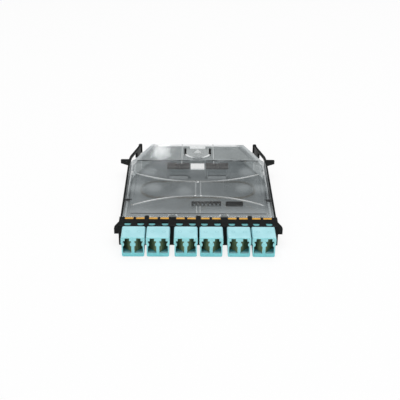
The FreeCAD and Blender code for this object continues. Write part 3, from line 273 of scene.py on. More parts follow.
# stage and lights
stageSetting = {
    "floorDrop": 0.0002,
    "floorReach": 12.0,
    "floorLines": 33,
    "floorWhite": 0.9,
    "floorGlow": 0.82,
    "skyLow": 0.10,
    "skyHigh": 1.20,
    "skySeen": 1.0,
    "lamps": {  # place, target, size and power of each
        "overhead": ((0.1, 0.05, 1.1), (0, 0, 0), (1.0, 1.0), 7.0),
        "front": ((-0.3, -1.0, 0.7), (0, 0, 0), (0.8, 0.8), 2.2),
        "softbox": ((-0.0603, 0.9428, 0.457), (-0.0239, 0.0480, 0.012), (0.026, 0.011), 0.014),
    },
}


# a flat grid whose lines lie at reach t^3 along either side, so that its cells are small near the
# part; rays from the camera, and those seen in gloss, meet a glow that hides most of the shadows
def makeFloor(setting):
    lines = setting["floorReach"] * np.linspace(-1, 1, setting["floorLines"]) ** 3
    u, v = np.meshgrid(lines, lines, indexing="ij")
    floor = meshFromGrid("floor", np.stack([u, v, np.full_like(u, -setting["floorDrop"])], -1))
    finish, tree, output = emptyFinish("paleFloor")
    white = (setting["floorWhite"],) * 3
    matt = addNode(tree, "BsdfDiffuse", {"Color": (*white, 1)})
    glow = addNode(tree, "Emission", {"Color": (1, 1, 1, 1), "Strength": 1.0})
    rays = addNode(tree, "LightPath").outputs
    direct = largest(tree, rays["Is Camera Ray"], rays["Is Glossy Ray"], rays["Is Transmission Ray"])
    share = times(tree, direct, setting["floorGlow"])
    mix = addNode(tree, "MixShader", {0: share, 1: matt.outputs[0], 2: glow.outputs[0]})
    tree.links.new(mix.outputs[0], output.inputs["Surface"])
    floor.data.materials.append(finish)


# brightness = low + (high - low) h^3, where h is the height of the ray's direction; the camera
# itself sees a white sky behind the floor's far edge
def makeSky(setting):
    world = bpy.data.worlds.new("studio")
    world.use_nodes = True
    bpy.context.scene.world = world
    tree = world.node_tree
    tree.nodes.clear()
    height = axes(tree, addNode(tree, "TexCoord").outputs["Generated"])[2]
    climb = calc(tree, "POWER", spread(tree, height, 0.0, 1.0, 0.0, 1.0), 3.0)
    strength = spread(tree, climb, 0.0, 1.0, setting["skyLow"], setting["skyHigh"])
    seen = times(tree, addNode(tree, "LightPath").outputs["Is Camera Ray"], setting["skySeen"])
    strength = largest(tree, strength, seen)
    light = addNode(tree, "Background", {"Color": (1, 1, 1, 1), "Strength": strength})
    tree.links.new(light.outputs[0], addNode(tree, "OutputWorld").inputs["Surface"])


def addLamp(name, place, target, size, power):
    data = bpy.data.lights.new(name, "AREA")
    data.shape = "RECTANGLE"
    data.size, data.size_y = size
    data.energy = power
    lamp = bpy.data.objects.new(name, data)
    lamp.location = place
    lamp.rotation_euler = (Vector(target) - Vector(place)).to_track_quat("-Z", "Y").to_euler()
    bpy.context.scene.collection.objects.link(lamp)


makeFloor(stageSetting)
makeSky(stageSetting)
for lampName, lamp in stageSetting["lamps"].items():
    addLamp(lampName, *lamp)
print("stage and lights set")

# black frame, latch arms and inner blocks
frameSetting = {
    "dark": "0d0e0e",
    "pale": "151717",
    "mottleSize": 90.0,
    "edgeWearAndHighlight": "373b3b",
    "edgeWearAndHighlightSize": 400.0,
    "edgeWearAndHighlightPatches": (0.3, 0.7, 0.25, 0.8),
    "edge": 0.00022,
    "shine": 0.16,
    "roughness": (0.35, 0.51),
    "grainSize": 3200.0,
    "bump": (0.25, 0.00004),  # strength and depth
}
armSetting = {**frameSetting, "dark": "101212", "pale": "181b1b", "grainSize": 2600.0}
blockSetting = {**frameSetting, "dark": "060707", "pale": "0d0e0e", "roughness": (0.43, 0.59)}
combSetting = {**blockSetting, "foot": "6f7679", "footHeight": 0.00065, "footFade": 0.0001}


# matt moulded black: two close greys in slow clouds, fine spark-eroded grain, and paler edges in
# patches, partly wear and partly a painted highlight; the comb is grey up to the height of its foot
def blackPlastic(name, setting):
    finish, tree, shader = newFinish(name, IOR=solidIor, Specular_IOR_Level=setting["shine"])
    place = objectPlace(tree)
    slow = cloud(tree, place, setting["mottleSize"])
    body = mottled(tree, slow, srgb(setting["dark"]), srgb(setting["pale"]))
    # edges painted paler in patches: partly wear, partly a painted highlight
    rounded, edgeWearAndHighlight = softEdge(tree, setting["edge"])
    patches = spread(tree, cloud(tree, place, setting["edgeWearAndHighlightSize"]), *setting["edgeWearAndHighlightPatches"])
    colour = twoTone(tree, times(tree, edgeWearAndHighlight, patches), body, srgb(setting["edgeWearAndHighlight"]))
    if "foot" in setting:
        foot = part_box("splice_comb")[0].z + setting["footHeight"]
        low = upTo(tree, axes(tree, place)[2], foot, setting["footFade"])
        colour = twoTone(tree, low, colour, srgb(setting["foot"]))
    tree.links.new(colour, shader.inputs["Base Color"])
    grain = cloud(tree, place, setting["grainSize"], 2.0)
    roughen(tree, shader, setting, grain, grain, rounded)
    return finish


frameBlack = blackPlastic("frameBlack", frameSetting)
armBlack = blackPlastic("armBlack", armSetting)
blockBlack = blackPlastic("blockBlack", blockSetting)
combBlack = blackPlastic("combBlack", combSetting)

# aqua adapters; each pair of places is where a change starts and ends
aquaSetting = {
    "main": "b3e3ea",
    "shade": "a5dae1",
    "mottleSize": 140.0,
    "edge": "c6f0f3",
    "edgeRadius": 0.00018,
    "edgeHighlightShare": 0.55,
    "innerHalf": (0.0059, 0.0060),
    "innerTop": (0.01165, 0.01175),
    "innerStart": (0.0004, 0.0008),
    "shine": (0.35, 0.06),  # outside and inside the ports
    "portShade": "2f9198",
    "portShadeShare": 0.85,
    "portShadeDepth": (0.0006, 0.0028),
    "face": "a4f2f6",
    "litFaceShare": 0.8,
    "litFaceDepth": (0.0002, 0.0004),
    "low": "6fe0e8",
    "lowShare": 0.6,
    "lowHeight": 0.0090,
    "boss": "69a9ad",
    "bossHeight": (0.0108, 0.0109),
    "bossStart": (0.0117, 0.0118),
    "mark": "7fbcc3",
    "markPlace": (0.0031, 0.0062),
    "markRadius": 0.0009,
    "markWidth": 0.0002,
    "markHeight": (0.0118, 0.0121),
    "markShare": 0.8,
    "roughness": (0.31, 0.44),
    "grainSize": 2400.0,
    "grainShare": 0.12,
    "bump": (0.5, 0.00006),
}


# smooth aqua moulding with a painted highlight along its edges and two shallow pin marks on top;
# inside the ports, between the inner faces of the side walls and behind the front plate, painted
# shade darkens it towards the back
def aquaPlastic(name, middle, front, setting):
    finish, tree, shader = newFinish(name, IOR=solidIor)
    place = objectPlace(tree)
    slow = cloud(tree, place, setting["mottleSize"])
    body = mottled(tree, slow, srgb(setting["main"]), srgb(setting["shade"]))
    # a painted highlight along the edges
    rounded, edge = softEdge(tree, setting["edgeRadius"])
    colour = twoTone(tree, times(tree, edge, setting["edgeHighlightShare"]), body, srgb(setting["edge"]))

    across, back, height = axes(tree, objectPlace(tree, (-middle, -front, 0)))
    aside = calc(tree, "ABSOLUTE", across)
    inner = times(tree, spread(tree, aside, *setting["innerHalf"], 1.0, 0.0),
                  spread(tree, height, *setting["innerTop"], 1.0, 0.0))
    # painted shade inside the ports, darker towards the back
    portShade = times(tree, inner, spread(tree, back, *setting["portShadeDepth"], 0.0, 1.0))
    colour = twoTone(tree, times(tree, portShade, setting["portShadeShare"]), colour, srgb(setting["portShade"]))
    inside = times(tree, inner, spread(tree, back, *setting["innerStart"], 0.0, 1.0))
    shine = spread(tree, inside, 0.0, 1.0, *setting["shine"])
    tree.links.new(shine, shader.inputs["Specular IOR Level"])

    # the front faces get a painted lit tone, greener than the rest, which deepens towards their foot
    face = spread(tree, back, *setting["litFaceDepth"], 1.0, 0.0)
    colour = twoTone(tree, times(tree, face, setting["litFaceShare"]), colour, srgb(setting["face"]))
    low = times(tree, face, spread(tree, height, 0.0, setting["lowHeight"], setting["lowShare"], 0.0))
    colour = twoTone(tree, low, colour, srgb(setting["low"]))

    # the bosses in the frame's roof windows lie in shade
    sunk = times(tree, spread(tree, height, *setting["bossHeight"], 0.0, 1.0),
                 spread(tree, back, *setting["bossStart"], 0.0, 1.0))
    colour = twoTone(tree, sunk, colour, srgb(setting["boss"]))

    # a mark is a ring about a point: distance from that point less the mark's radius, near nought
    markAcross, markBack = setting["markPlace"]
    far = lengthOf(tree, minus(tree, aside, markAcross), minus(tree, back, markBack))
    off = calc(tree, "ABSOLUTE", minus(tree, far, setting["markRadius"]))
    mark = times(tree, spread(tree, off, 0.0, setting["markWidth"], 1.0, 0.0, True),
                 spread(tree, height, *setting["markHeight"], 0.0, 1.0))
    colour = twoTone(tree, times(tree, mark, setting["markShare"]), colour, srgb(setting["mark"]))
    tree.links.new(colour, shader.inputs["Base Color"])

    grain = cloud(tree, place, setting["grainSize"], 2.0)
    pressed = minus(tree, times(tree, grain, setting["grainShare"]), mark)
    roughen(tree, shader, setting, grain, pressed, rounded)
    return finish


# shutters
leafSetting = {
    "dark": "3f4c35",
    "pale": "6f7e5c",
    "litDark": "6c7c58",
    "litPale": "98a882",
    "cavityShadeFade": (0.0012, 0.0040),
    "metal": 0.25,
    "streakSize": 2600.0,
    "streakStretch": (1, 1, 0.05),
    "roughness": (0.26, 0.48),
    "bump": (0.35, 0.00003),
}


# olive sprung leaf: upright drawn streaks, in a painted lit tone near its hinge by the adapter's middle
# and in painted shade towards its outer edge
def brushedLeaf(name, middle, setting):
    finish, tree, shader = newFinish(name, Metallic=setting["metal"])
    stretched = objectPlace(tree, stretch=setting["streakStretch"])
    streaks = cloud(tree, stretched, setting["streakSize"], 3.0, 0.6)
    across = axes(tree, objectPlace(tree, (-middle, 0, 0)))[0]
    # painted shade away from the hinge, a painted lit tone near it
    cavityShade = spread(tree, calc(tree, "ABSOLUTE", across), *setting["cavityShadeFade"], 0.0, 1.0, True)
    near = mottled(tree, streaks, srgb(setting["litDark"]), srgb(setting["litPale"]))
    far = mottled(tree, streaks, srgb(setting["dark"]), srgb(setting["pale"]))
    tree.links.new(twoTone(tree, cavityShade, near, far), shader.inputs["Base Color"])
    roughen(tree, shader, setting, streaks, streaks)
    return finish


# sleeves, plugs and pads
plainSetting = {
    "mottleSize": 500.0,
    "edge": (0.9, 0.88, 0.8),
    "edgeRadius": 0.00012,
    "edgeHighlightShare": 0.3,
    "bump": (0.2, 0.00003),
}
sleeveSetting = {**plainSetting, "dark": "ece8dc", "pale": "f6f2e8", "roughness": (0.19, 0.33),
                 "grainSize": 3000.0}
plugSetting = {**plainSetting, "dark": "d49b38", "pale": "e2ac48", "roughness": (0.32, 0.46),
               "grainSize": 2500.0, "edgeHighlightShare": 0.15}
padSetting = {**plainSetting, "dark": "3f3b3a", "pale": "544f4d", "roughness": (0.56, 0.70),
              "grainSize": 1800.0, "edgeHighlightShare": 0.08}


# smooth moulding in two close tones with a fine grain and a slight painted highlight along its edges
def plainPlastic(name, setting):
    finish, tree, shader = newFinish(name, IOR=solidIor)
    place = objectPlace(tree)
    slow = cloud(tree, place, setting["mottleSize"])
    body = mottled(tree, slow, srgb(setting["dark"]), srgb(setting["pale"]))
    # a painted highlight along the edges
    rounded, edge = softEdge(tree, setting["edgeRadius"])
    colour = twoTone(tree, times(tree, edge, setting["edgeHighlightShare"]), body, setting["edge"])
    tree.links.new(colour, shader.inputs["Base Color"])
    grain = cloud(tree, place, setting["grainSize"], 2.0)
    roughen(tree, shader, setting, grain, grain, rounded)
    return finish


ceramic = plainPlastic("sleeveCeramic", sleeveSetting)
amber = plainPlastic("plugAmber", plugSetting)
rubber = plainPlastic("padRubber", padSetting)

# clear cover, catch and tray; places back are measured from the cover's front edge, and places
# aside from the middle
clearSetting = {
    "ior": 1.49,
    "hazeRoughness": 0.6,
    "mottleSize": 55.0,
    "bodyPaler": 1.15,
    "edgeRadius": 0.00025,
    "edgeHighlight": 0.8,
    "edgeHighlightTone": (0.93, 0.95, 0.95),
    "highlightHazeShare": 0.75,
    "darkTone": (0.02, 0.022, 0.024),
    "fineSize": 900.0,
    "fineBump": (0.06, 0.00003),
    "chamferStart": 0.0659,
    "chamferSlope": 0.42,
}
coverSetting = {
    **clearSetting,
    "tint": (0.962, 0.970, 0.973),
    "haze": 0.025,
    "gloss": 1.0,
    "body": "b9bfc1",
    "edgeHighlightHaze": 0.06,
    "roughness": 0.10,
    "cloudy": 0.02,
    "topFace": (0.0114, 0.0116),
    "eitherFace": (0.0108, 0.0110),
    "lineSoft": 0.0002,
    # painted highlights
    "ridges": ((0.0240, 0.0692, 0.0745, -1), (0.0404, 0.0722, 0.0780, 1)),  # middle, two radii, way
    "ridgeReach": 0.0383,
    "ridgeFade": 0.001,
    "ridgeSoft": 0.0003,
    "ridgeHighlightRise": (0.006, 0.030, 0.35, 1.0),
    "glints": (  # strength and places
        (1.0, ((0.0, 0.0405), (0.0017, 0.0236))),
        (0.7, ((0.0275, 0.0006), (0.0164, 0.0008), (0.0164, 0.0020), (0.0124, 0.0008), (0.0124, 0.0020))),
        (0.3, ((0.0153, 0.0479), (0.0176, 0.0481), (0.0352, 0.0632), (0.0371, 0.0630))),
    ),
    "glintRadius": 0.0009,
    "rearRibs": (0.0098, 0.0104),  # near and far side
    "rearRibTip": (0.0642, 0.0648, 0.0, 0.45),
    "shortRibs": ((0.0012, 0.0017, 0.0245, 0.0400), (0.0008, 0.0012, 0.0042, 0.0120)),  # sides, ends
    "shortRibShare": 0.35,
    "ribEndSoft": 0.0005,
    "catchHalf": 0.0071,
    "catchRound": 0.0060,
    "catchFront": 0.0753,
    "rimBand": (0.0004, 0.0016),
    "rimHighlightRise": (0.0015, 0.0045, 0.3, 1.0),
    "rimEnd": (0.0795, 0.0800),
    "seamHighlightBand": (0.0703, 0.0716),
    "seamHighlightShare": 0.22,
    # dark lines
    "seamBand": (0.0681, 0.0697),
    "seamMiddle": (0.0046, 0.0050),
    "seamEnds": (0.0380, 0.0388),
    "seamBroken": (0.35, 0.6, 0.7, 1.0),
    "seamCloudSize": 160.0,
    "grooveShadeBand": (0.0034, 0.0040),
    "grooveShadeShare": 0.8,
    "tickBand": (0.0188, 0.0200),
    "tickStart": (0.0383, 0.0386),
    "bracketHalf": 0.0029,
    "bracketLeg": 0.0006,
    "bracketBand": (0.0706, 0.0718),
    "bracketShare": 0.75,
    "paintSoft": 0.0003,
    # mist: two places, and the share of haze at each
    "frontMist": (0.0040, 0.0120, 0.14, 0.0),
    "stripMist": (0.0028, 0.0036, 0.028, 0.0),
    "sideMist": (0.024, 0.039, 0.0, 0.08),
    "rearMist": (0.083, 0.093, 0.0, 0.05),
    "chamferHighlightMist": (0.0365, 0.0410, 0.0, 0.45),
    "chamferFade": 0.004,
    "rightShade": (0.004, 0.018, 0.0, 0.06),
    "rightBand": (0.0180, 0.0420),
    "rightSoft": 0.0080,
    "spotRadius": 0.0068,
    "highlightSpots": ((0.0300, 0.0552), (0.0370, 0.0336), (0.0265, 0.0345)),
    "highlightSpotShare": 0.17,
    "leftHighlightSpots": ((-0.0080, 0.0300),),
    "leftHighlightSpotShare": 0.14,
    "shadeSpots": ((0.0325, 0.0475), (0.0390, 0.0270), (0.0301, 0.0257), (0.0162, 0.0347),
                  (0.0019, 0.0497)),
    "shadeSpotShare": 0.04,
    # tints
    "windowTint": (0.995, 0.995, 0.995),
    "windowHalf": 0.0068,
    "windowBand": (0.0580, 0.0660),
    "slantTint": (0.80, 0.81, 0.815),
    "slantBand": (0.0375, 0.0403),
    "slantSoft": 0.0015,
    "sideTint": (0.74, 0.755, 0.76),
    "sideBand": (0.0180, 0.0655),
    "sideSoft": 0.0010,
    "sideStart": (0.0396, 0.0400),
}
catchSetting = {
    **coverSetting,
    "tint": (0.95, 0.957, 0.96),
    "haze": 0.32,
    "body": "c4c8c8",
    "edgeHighlightHaze": 0.30,
    "arrow": (0.01203, 0.0122, 0.0, 0.5),
}
traySetting = {
    **clearSetting,
    "tint": (0.90, 0.915, 0.92),
    "haze": 0.02,
    "gloss": 0.4,
    "body": "8e9598",
    "edgeHighlightHaze": 0.02,
    "roughness": 0.30,
    "cloudy": 0.03,
    "rearTint": (0.575, 0.595, 0.595),
    "rearWall": (0.0908, 0.0910),
    "slantStart": (0.0657, 0.0659),
    "slantWall": (0.0388, 0.0391),
    "innerTint": (0.975, 0.98, 0.98),
    "innerHalf": 0.0365,
    "innerBack": 0.0620,
    "rearWindow": 0.0049,
    "rearWindowFoot": (0.0090, 0.0094),
    "flankTint": (0.66, 0.68, 0.685),
    "flankWall": (0.0401, 0.0404),
    "flankEnd": (0.0659, 0.0661),
    "ledgeTint": (0.50, 0.52, 0.527),
    "ledgeWall": (0.0656, 0.0672),
    "ledgeReach": (0.0045, 0.0200),
    "ledgeFoot": (0.0031, 0.0035),
    "ledgeSoft": 0.0002,
    "floorTint": (0.200, 0.218, 0.224),
    "floorUnder": (0.0003, 0.0006),
    "windowSoft": 0.0003,
}


# smoky clear plastic for thin walls: each face lets light through with a grey tint, shows a thin
# haze, with a painted highlight of thicker haze and a paler tone along edges, and mirrors gloss
# (0.04 + 0.96 f^5) of what it faces, where f is Facing
def clearPlastic(name, setting, paint):
    finish, tree, output = emptyFinish(name)
    shader = addShader(tree, IOR=setting["ior"], Specular_IOR_Level=0.0,
                       Roughness=setting["hazeRoughness"])
    place = objectPlace(tree)
    slow = cloud(tree, place, setting["mottleSize"], 2.0)
    tone = srgb(setting["body"])
    body = mottled(tree, slow, tone, tuple(c * setting["bodyPaler"] for c in tone))
    rounded, edge = softEdge(tree, setting["edgeRadius"])

    cloudy = spread(tree, slow, *cloudRange, -setting["cloudy"], setting["cloudy"])
    # painted highlight along edges: thicker haze here and a paler tone below
    share = plus(tree, times(tree, edge, setting["edgeHighlightHaze"]), setting["haze"], cloudy)
    pale, dark, tint, mist = paint(tree, place, setting)
    highlightShare = times(tree, edge, setting["edgeHighlight"])
    if mist:
        share = plus(tree, share, mist)
    if pale:
        share = plus(tree, share, times(tree, pale, setting["highlightHazeShare"]))
        highlightShare = largest(tree, highlightShare, pale)
    colour = twoTone(tree, highlightShare, body, setting["edgeHighlightTone"])
    if dark:
        share = plus(tree, share, dark)
        colour = twoTone(tree, dark, colour, setting["darkTone"])
    share = addNode(tree, "Clamp", {"Value": share}).outputs[0]
    tree.links.new(colour, shader.inputs["Base Color"])
    through = addNode(tree, "BsdfTransparent", {"Color": tint})
    inner = addNode(tree, "MixShader", {0: share, 1: through.outputs[0], 2: shader.outputs[0]})

    facing = addNode(tree, "LayerWeight", {"Blend": 0.5, "Normal": rounded}).outputs["Facing"]
    most = setting["gloss"]
    mirrored = spread(tree, calc(tree, "POWER", facing, 5.0), 0.0, 1.0, 0.04 * most, most)
    bump = addBump(tree, cloud(tree, place, setting["fineSize"], 2.0), *setting["fineBump"], rounded)
    gloss = addNode(tree, "BsdfAnisotropic", {"Color": (1, 1, 1, 1), "Roughness": setting["roughness"],
                                              "Normal": bump})
    mix = addNode(tree, "MixShader", {0: mirrored, 1: inner.outputs[0], 2: gloss.outputs[0]})
    tree.links.new(mix.outputs[0], output.inputs["Surface"])
    return finish


# across, the same without its sign, back from the cover's front edge, and height
def coverAxes(tree, place):
    across, back, height = axes(tree, place)
    return across, calc(tree, "ABSOLUTE", across), minus(tree, back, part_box("top_cover")[0].y), height


# the painted highlight on a ridge: 1 between the two circles that bound it, which meet at its ends,
# and 0 outside them
def ridgeLine(tree, aside, back, ridge, setting):
    middle, outerRadius, innerRadius, way = ridge
    reach, soft = setting["ridgeReach"], setting["ridgeSoft"]
    outerSag = outerRadius - math.sqrt(outerRadius**2 - reach**2)
    offs = []
    for radius in (outerRadius, innerRadius):
        sag = radius - math.sqrt(radius**2 - reach**2)
        centre = middle + way * (outerSag - sag + radius)
        offs.append(minus(tree, lengthOf(tree, aside, minus(tree, back, centre)), radius))
    return times(tree, upTo(tree, offs[0], 0.0, soft), past(tree, offs[1], -soft, soft))


# the painted highlight on the rim before the catch, by a place's distance from a box with rounded corners
def catchRim(tree, aside, back, setting):
    half, turn = setting["catchHalf"], setting["catchRound"]
    sideways = largest(tree, minus(tree, aside, half - turn), 0.0)
    forward = largest(tree, minus(tree, setting["catchFront"] + turn, back), 0.0)
    off = minus(tree, lengthOf(tree, sideways, forward), turn)
    rim = band(tree, off, *setting["rimBand"], setting["lineSoft"])
    return times(tree, rim, spread(tree, aside, *setting["rimHighlightRise"], True),
                 spread(tree, back, *setting["rimEnd"], 1.0, 0.0))


# painted highlights: the ridges, glints and ribs, the rim before the catch and the back of the seam
def coverHighlights(tree, aside, back, setting):
    soft = setting["lineSoft"]
    fade = setting["ridgeFade"]
    pale = largest(tree, *[ridgeLine(tree, aside, back, ridge, setting) for ridge in setting["ridges"]])
    pale = times(tree, pale, upTo(tree, aside, setting["ridgeReach"] - fade, fade),
                 spread(tree, aside, *setting["ridgeHighlightRise"], True))
    for strength, places in setting["glints"]:
        glints = dots(tree, aside, back, places, setting["glintRadius"])
        pale = largest(tree, pale, times(tree, glints, strength))
    rear = times(tree, band(tree, aside, *setting["rearRibs"], soft),
                 spread(tree, back, *setting["rearRibTip"]))
    short = [times(tree, band(tree, aside, near, far, soft),
                   band(tree, back, start, end, setting["ribEndSoft"]))
             for near, far, start, end in setting["shortRibs"]]
    short = times(tree, largest(tree, *short), setting["shortRibShare"])
    behind = times(tree, band(tree, back, *setting["seamHighlightBand"], setting["paintSoft"]),
                   setting["seamHighlightShare"], spread(tree, aside, *setting["seamEnds"], 1.0, 0.0))
    return largest(tree, pale, rear, short, catchRim(tree, aside, back, setting), behind)


# dark paint: the seam, painted shade in the front groove, the edge slots and the bracket before the catch
def coverDark(tree, place, aside, back, setting):
    soft, paintSoft = setting["lineSoft"], setting["paintSoft"]
    broken = spread(tree, cloud(tree, place, setting["seamCloudSize"], 2.0), *setting["seamBroken"])
    ends = spread(tree, aside, *setting["seamEnds"], 1.0, 0.0)
    seam = times(tree, band(tree, back, *setting["seamBand"], soft), ends, broken,
                 spread(tree, aside, *setting["seamMiddle"], 0.0, 1.0))
    # painted shade in the front groove
    groove = times(tree, band(tree, back, *setting["grooveShadeBand"], soft), setting["grooveShadeShare"], ends)
    tick = times(tree, band(tree, back, *setting["tickBand"], soft),
                 spread(tree, aside, *setting["tickStart"], 0.0, 1.0))
    half, barBand = setting["bracketHalf"], setting["bracketBand"]
    bar = times(tree, band(tree, back, *barBand, paintSoft), upTo(tree, aside, half, paintSoft))
    legs = times(tree, band(tree, aside, half - setting["bracketLeg"], half, soft),
                 band(tree, back, setting["seamBand"][1], barBand[1], soft))
    bracket = times(tree, largest(tree, bar, legs), setting["bracketShare"])
    return largest(tree, seam, groove, tick, bracket)


# haze, thicker towards the front and the sides; painted highlights of thicker haze at the slanted
# corners and in pale spots, and painted shade of thinner haze in dark spots and right of the middle
def coverMist(tree, across, aside, back, cornerHighlightMist, setting):
    mist = plus(tree, spread(tree, back, *setting["frontMist"], True),
                spread(tree, back, *setting["stripMist"]),
                spread(tree, aside, *setting["sideMist"], True), cornerHighlightMist)
    radius = setting["spotRadius"]
    # painted highlights in pale spots, painted shade in dark spots and right of the middle
    pale = times(tree, dots(tree, aside, back, setting["highlightSpots"], radius), setting["highlightSpotShare"])
    left = times(tree, dots(tree, across, back, setting["leftHighlightSpots"], radius), setting["leftHighlightSpotShare"])
    dark = times(tree, dots(tree, aside, back, setting["shadeSpots"], radius), setting["shadeSpotShare"])
    right = times(tree, spread(tree, across, *setting["rightShade"]),
                  band(tree, back, *setting["rightBand"], setting["rightSoft"]))
    return plus(tree, minus(tree, mist, right), minus(tree, plus(tree, pale, left), dark))


# the lines and the haze at the rear lie on the cover's upper face, the other haze on both faces;
# the window before the catch is clearest, and the slanted corners and the strips along the sides
# pass less light
def coverPaint(tree, place, setting):
    across, aside, back, height = coverAxes(tree, place)
    onTop = spread(tree, height, *setting["topFace"], 0.0, 1.0)
    eitherFace = spread(tree, height, *setting["eitherFace"], 0.0, 1.0)
    start = setting["chamferStart"]
    beyond = largest(tree, minus(tree, back, start), 0.0)
    out = plus(tree, aside, times(tree, beyond, setting["chamferSlope"]))
    rearOnly = past(tree, back, start, setting["chamferFade"])
    # painted highlights and dark lines, on the upper face only
    pale = times(tree, coverHighlights(tree, aside, back, setting), onTop)
    dark = times(tree, coverDark(tree, place, aside, back, setting), onTop)

    # a painted highlight of thicker haze at the slanted corners
    cornerHighlightMist = times(tree, spread(tree, out, *setting["chamferHighlightMist"], True), rearOnly)
    mist = times(tree, coverMist(tree, across, aside, back, cornerHighlightMist, setting), eitherFace)
    mist = plus(tree, mist, times(tree, spread(tree, back, *setting["rearMist"], True), onTop))

    soft = setting["paintSoft"]
    window = times(tree, upTo(tree, aside, setting["windowHalf"], soft),
                   band(tree, back, *setting["windowBand"], soft))
    slant = times(tree, band(tree, out, *setting["slantBand"], setting["slantSoft"]), rearOnly)
    strip = times(tree, band(tree, back, *setting["sideBand"], setting["sideSoft"]),
                  spread(tree, aside, *setting["sideStart"], 0.0, 1.0))
    tint = twoTone(tree, window, setting["tint"], setting["windowTint"])
    tint = twoTone(tree, slant, tint, setting["slantTint"])
    return pale, dark, twoTone(tree, strip, tint, setting["sideTint"]), mist


# the catch is plain apart from the pale arrow that stands on it
def catchPaint(tree, place, setting):
    height = axes(tree, place)[2]
    return spread(tree, height, *setting["arrow"]), None, (*setting["tint"], 1), None


# the floor's underside passes least light, then the feet of the ledges' fronts, the rear and
# slanted walls and the outer sides; the inner walls and the notch behind the catch pass most
def trayPaint(tree, place, setting):
    aside, back, height = coverAxes(tree, place)[1:]
    soft = setting["windowSoft"]
    rear = spread(tree, back, *setting["rearWall"], 0.0, 1.0)
    beyond = times(tree, minus(tree, back, setting["chamferStart"]), setting["chamferSlope"])
    slanted = times(tree, spread(tree, plus(tree, aside, beyond), *setting["slantWall"], 0.0, 1.0),
                    spread(tree, back, *setting["slantStart"], 0.0, 1.0))
    notch = times(tree, upTo(tree, aside, setting["rearWindow"], soft), rear,
                  spread(tree, height, *setting["rearWindowFoot"], 0.0, 1.0))
    within = times(tree, upTo(tree, aside, setting["innerHalf"], soft),
                   upTo(tree, back, setting["innerBack"], soft))
    flank = times(tree, spread(tree, aside, *setting["flankWall"], 0.0, 1.0),
                  spread(tree, back, *setting["flankEnd"], 1.0, 0.0))
    ledge = times(tree, band(tree, back, *setting["ledgeWall"], setting["ledgeSoft"]),
                  band(tree, aside, *setting["ledgeReach"], setting["ledgeSoft"]),
                  spread(tree, height, *setting["ledgeFoot"], 1.0, 0.0))
    floor = spread(tree, height, *setting["floorUnder"], 1.0, 0.0)
    tint = setting["tint"]
    for share, key in ((largest(tree, rear, slanted), "rearTint"), (notch, "innerTint"),
                       (within, "innerTint"), (flank, "flankTint"), (ledge, "ledgeTint"),
                       (floor, "floorTint")):
        tint = twoTone(tree, share, tint, setting[key])
    return None, None, tint, None


coverClear = clearPlastic("coverClear", coverSetting, coverPaint)
catchClear = clearPlastic("catchClear", catchSetting, catchPaint)
trayClear = clearPlastic("trayClear", traySetting, trayPaint)


def dress(names, finish):
    for name in names:
        for slot in nodes[name].material_slots:
            slot.material = finish


dress(["front_frame"], frameBlack)
dress(["latch_arm_left", "latch_arm_right"], armBlack)
dress(["splice_comb"], combBlack)
dress(["fanout_block", "latch_guide_left", "latch_guide_right"], blockBlack)
for number in range(1, 7):
    low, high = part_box("adapter_%d" % number)
    middle = (low.x + high.x) / 2
    dress(["adapter_%d" % number], aquaPlastic("adapterAqua%d" % number, middle, low.y, aquaSetting))
    leaf = brushedLeaf("oliveLeaf%d" % number, middle, leafSetting)
    dress(["shutter_%d" % (2 * number - 1), "shutter_%d" % (2 * number)], leaf)
dress(["alignment_sleeve_%d" % number for number in range(1, 13)], ceramic)
dress(["inner_plug_%d" % number for number in range(1, 13)], amber)
dress(["cable_pad_left", "cable_pad_right"], rubber)
dress(["top_cover"], coverClear)
dress(["cover_latch"], catchClear)
dress(["base_tray"], trayClear)
print("finishes given to the solid pieces")

# fibres
fibreSetting = {
    "radius": 0.000125,
    "endRadius": 1e-6,
    "sides": 6,
    "steps": 220,
    "entrySteps": 40,
    "pull": 0.012,  # how straight a fibre leaves its plug and enters the loop
    "bootInset": 0.0004,
    "bootHeight": 0.00225,
    "hubClear": 0.0006,
    "joinBack": 0.016,
    "turnShare": (0.93, 0.99),
    "radiusScatter": (-0.0005, 0.0005),
    "liftScatter": (-0.0003, 0.0005),
    "sway": (0.0003, 60),  # size, and radians for each metre, aside here and upright below
    "wave": (0.0002, 85),
    "seed": 12,
    "clear": 0.62,
    "tones": ["a89e88", "a1a5a7", "a3a096", "9ba0a1", "ab9f86", "a19f99"],
    "darker": 0.8,
    "stripeSize": 700.0,
    "roughness": 0.35,
}


# a ring of points carried along the path: path + radius (cos a across + sin a up); the ends close
# nearly to a point
def tubeAlong(path, radius, endRadius, sides):
    ahead = np.gradient(path, axis=0)
    ahead /= np.linalg.norm(ahead, axis=1, keepdims=True)
    across = np.cross(ahead, [0.0, 0.0, 1.0])
    across /= np.linalg.norm(across, axis=1, keepdims=True)
    up = np.cross(across, ahead)
    turn = np.linspace(0, 2 * np.pi, sides, endpoint=False)[None, :, None]
    width = np.full(len(path), radius)
    width[[0, -1]] = endRadius
    ring = np.cos(turn) * across[:, None, :] + np.sin(turn) * up[:, None, :]
    return path[:, None, :] + width[:, None, None] * ring


# (2t^3 - 3t^2 + 1) start + (t^3 - 2t^2 + t) startAhead + (3t^2 - 2t^3) end + (t^3 - t^2) endAhead
def hermite(start, startAhead, end, endAhead, count):
    t = np.linspace(0, 1, count)[:, None]
    return ((2 * t**3 - 3 * t**2 + 1) * start + (t**3 - 2 * t**2 + t) * startAhead
            + (3 * t**2 - 2 * t**3) * end + (t**3 - t**2) * endAhead)


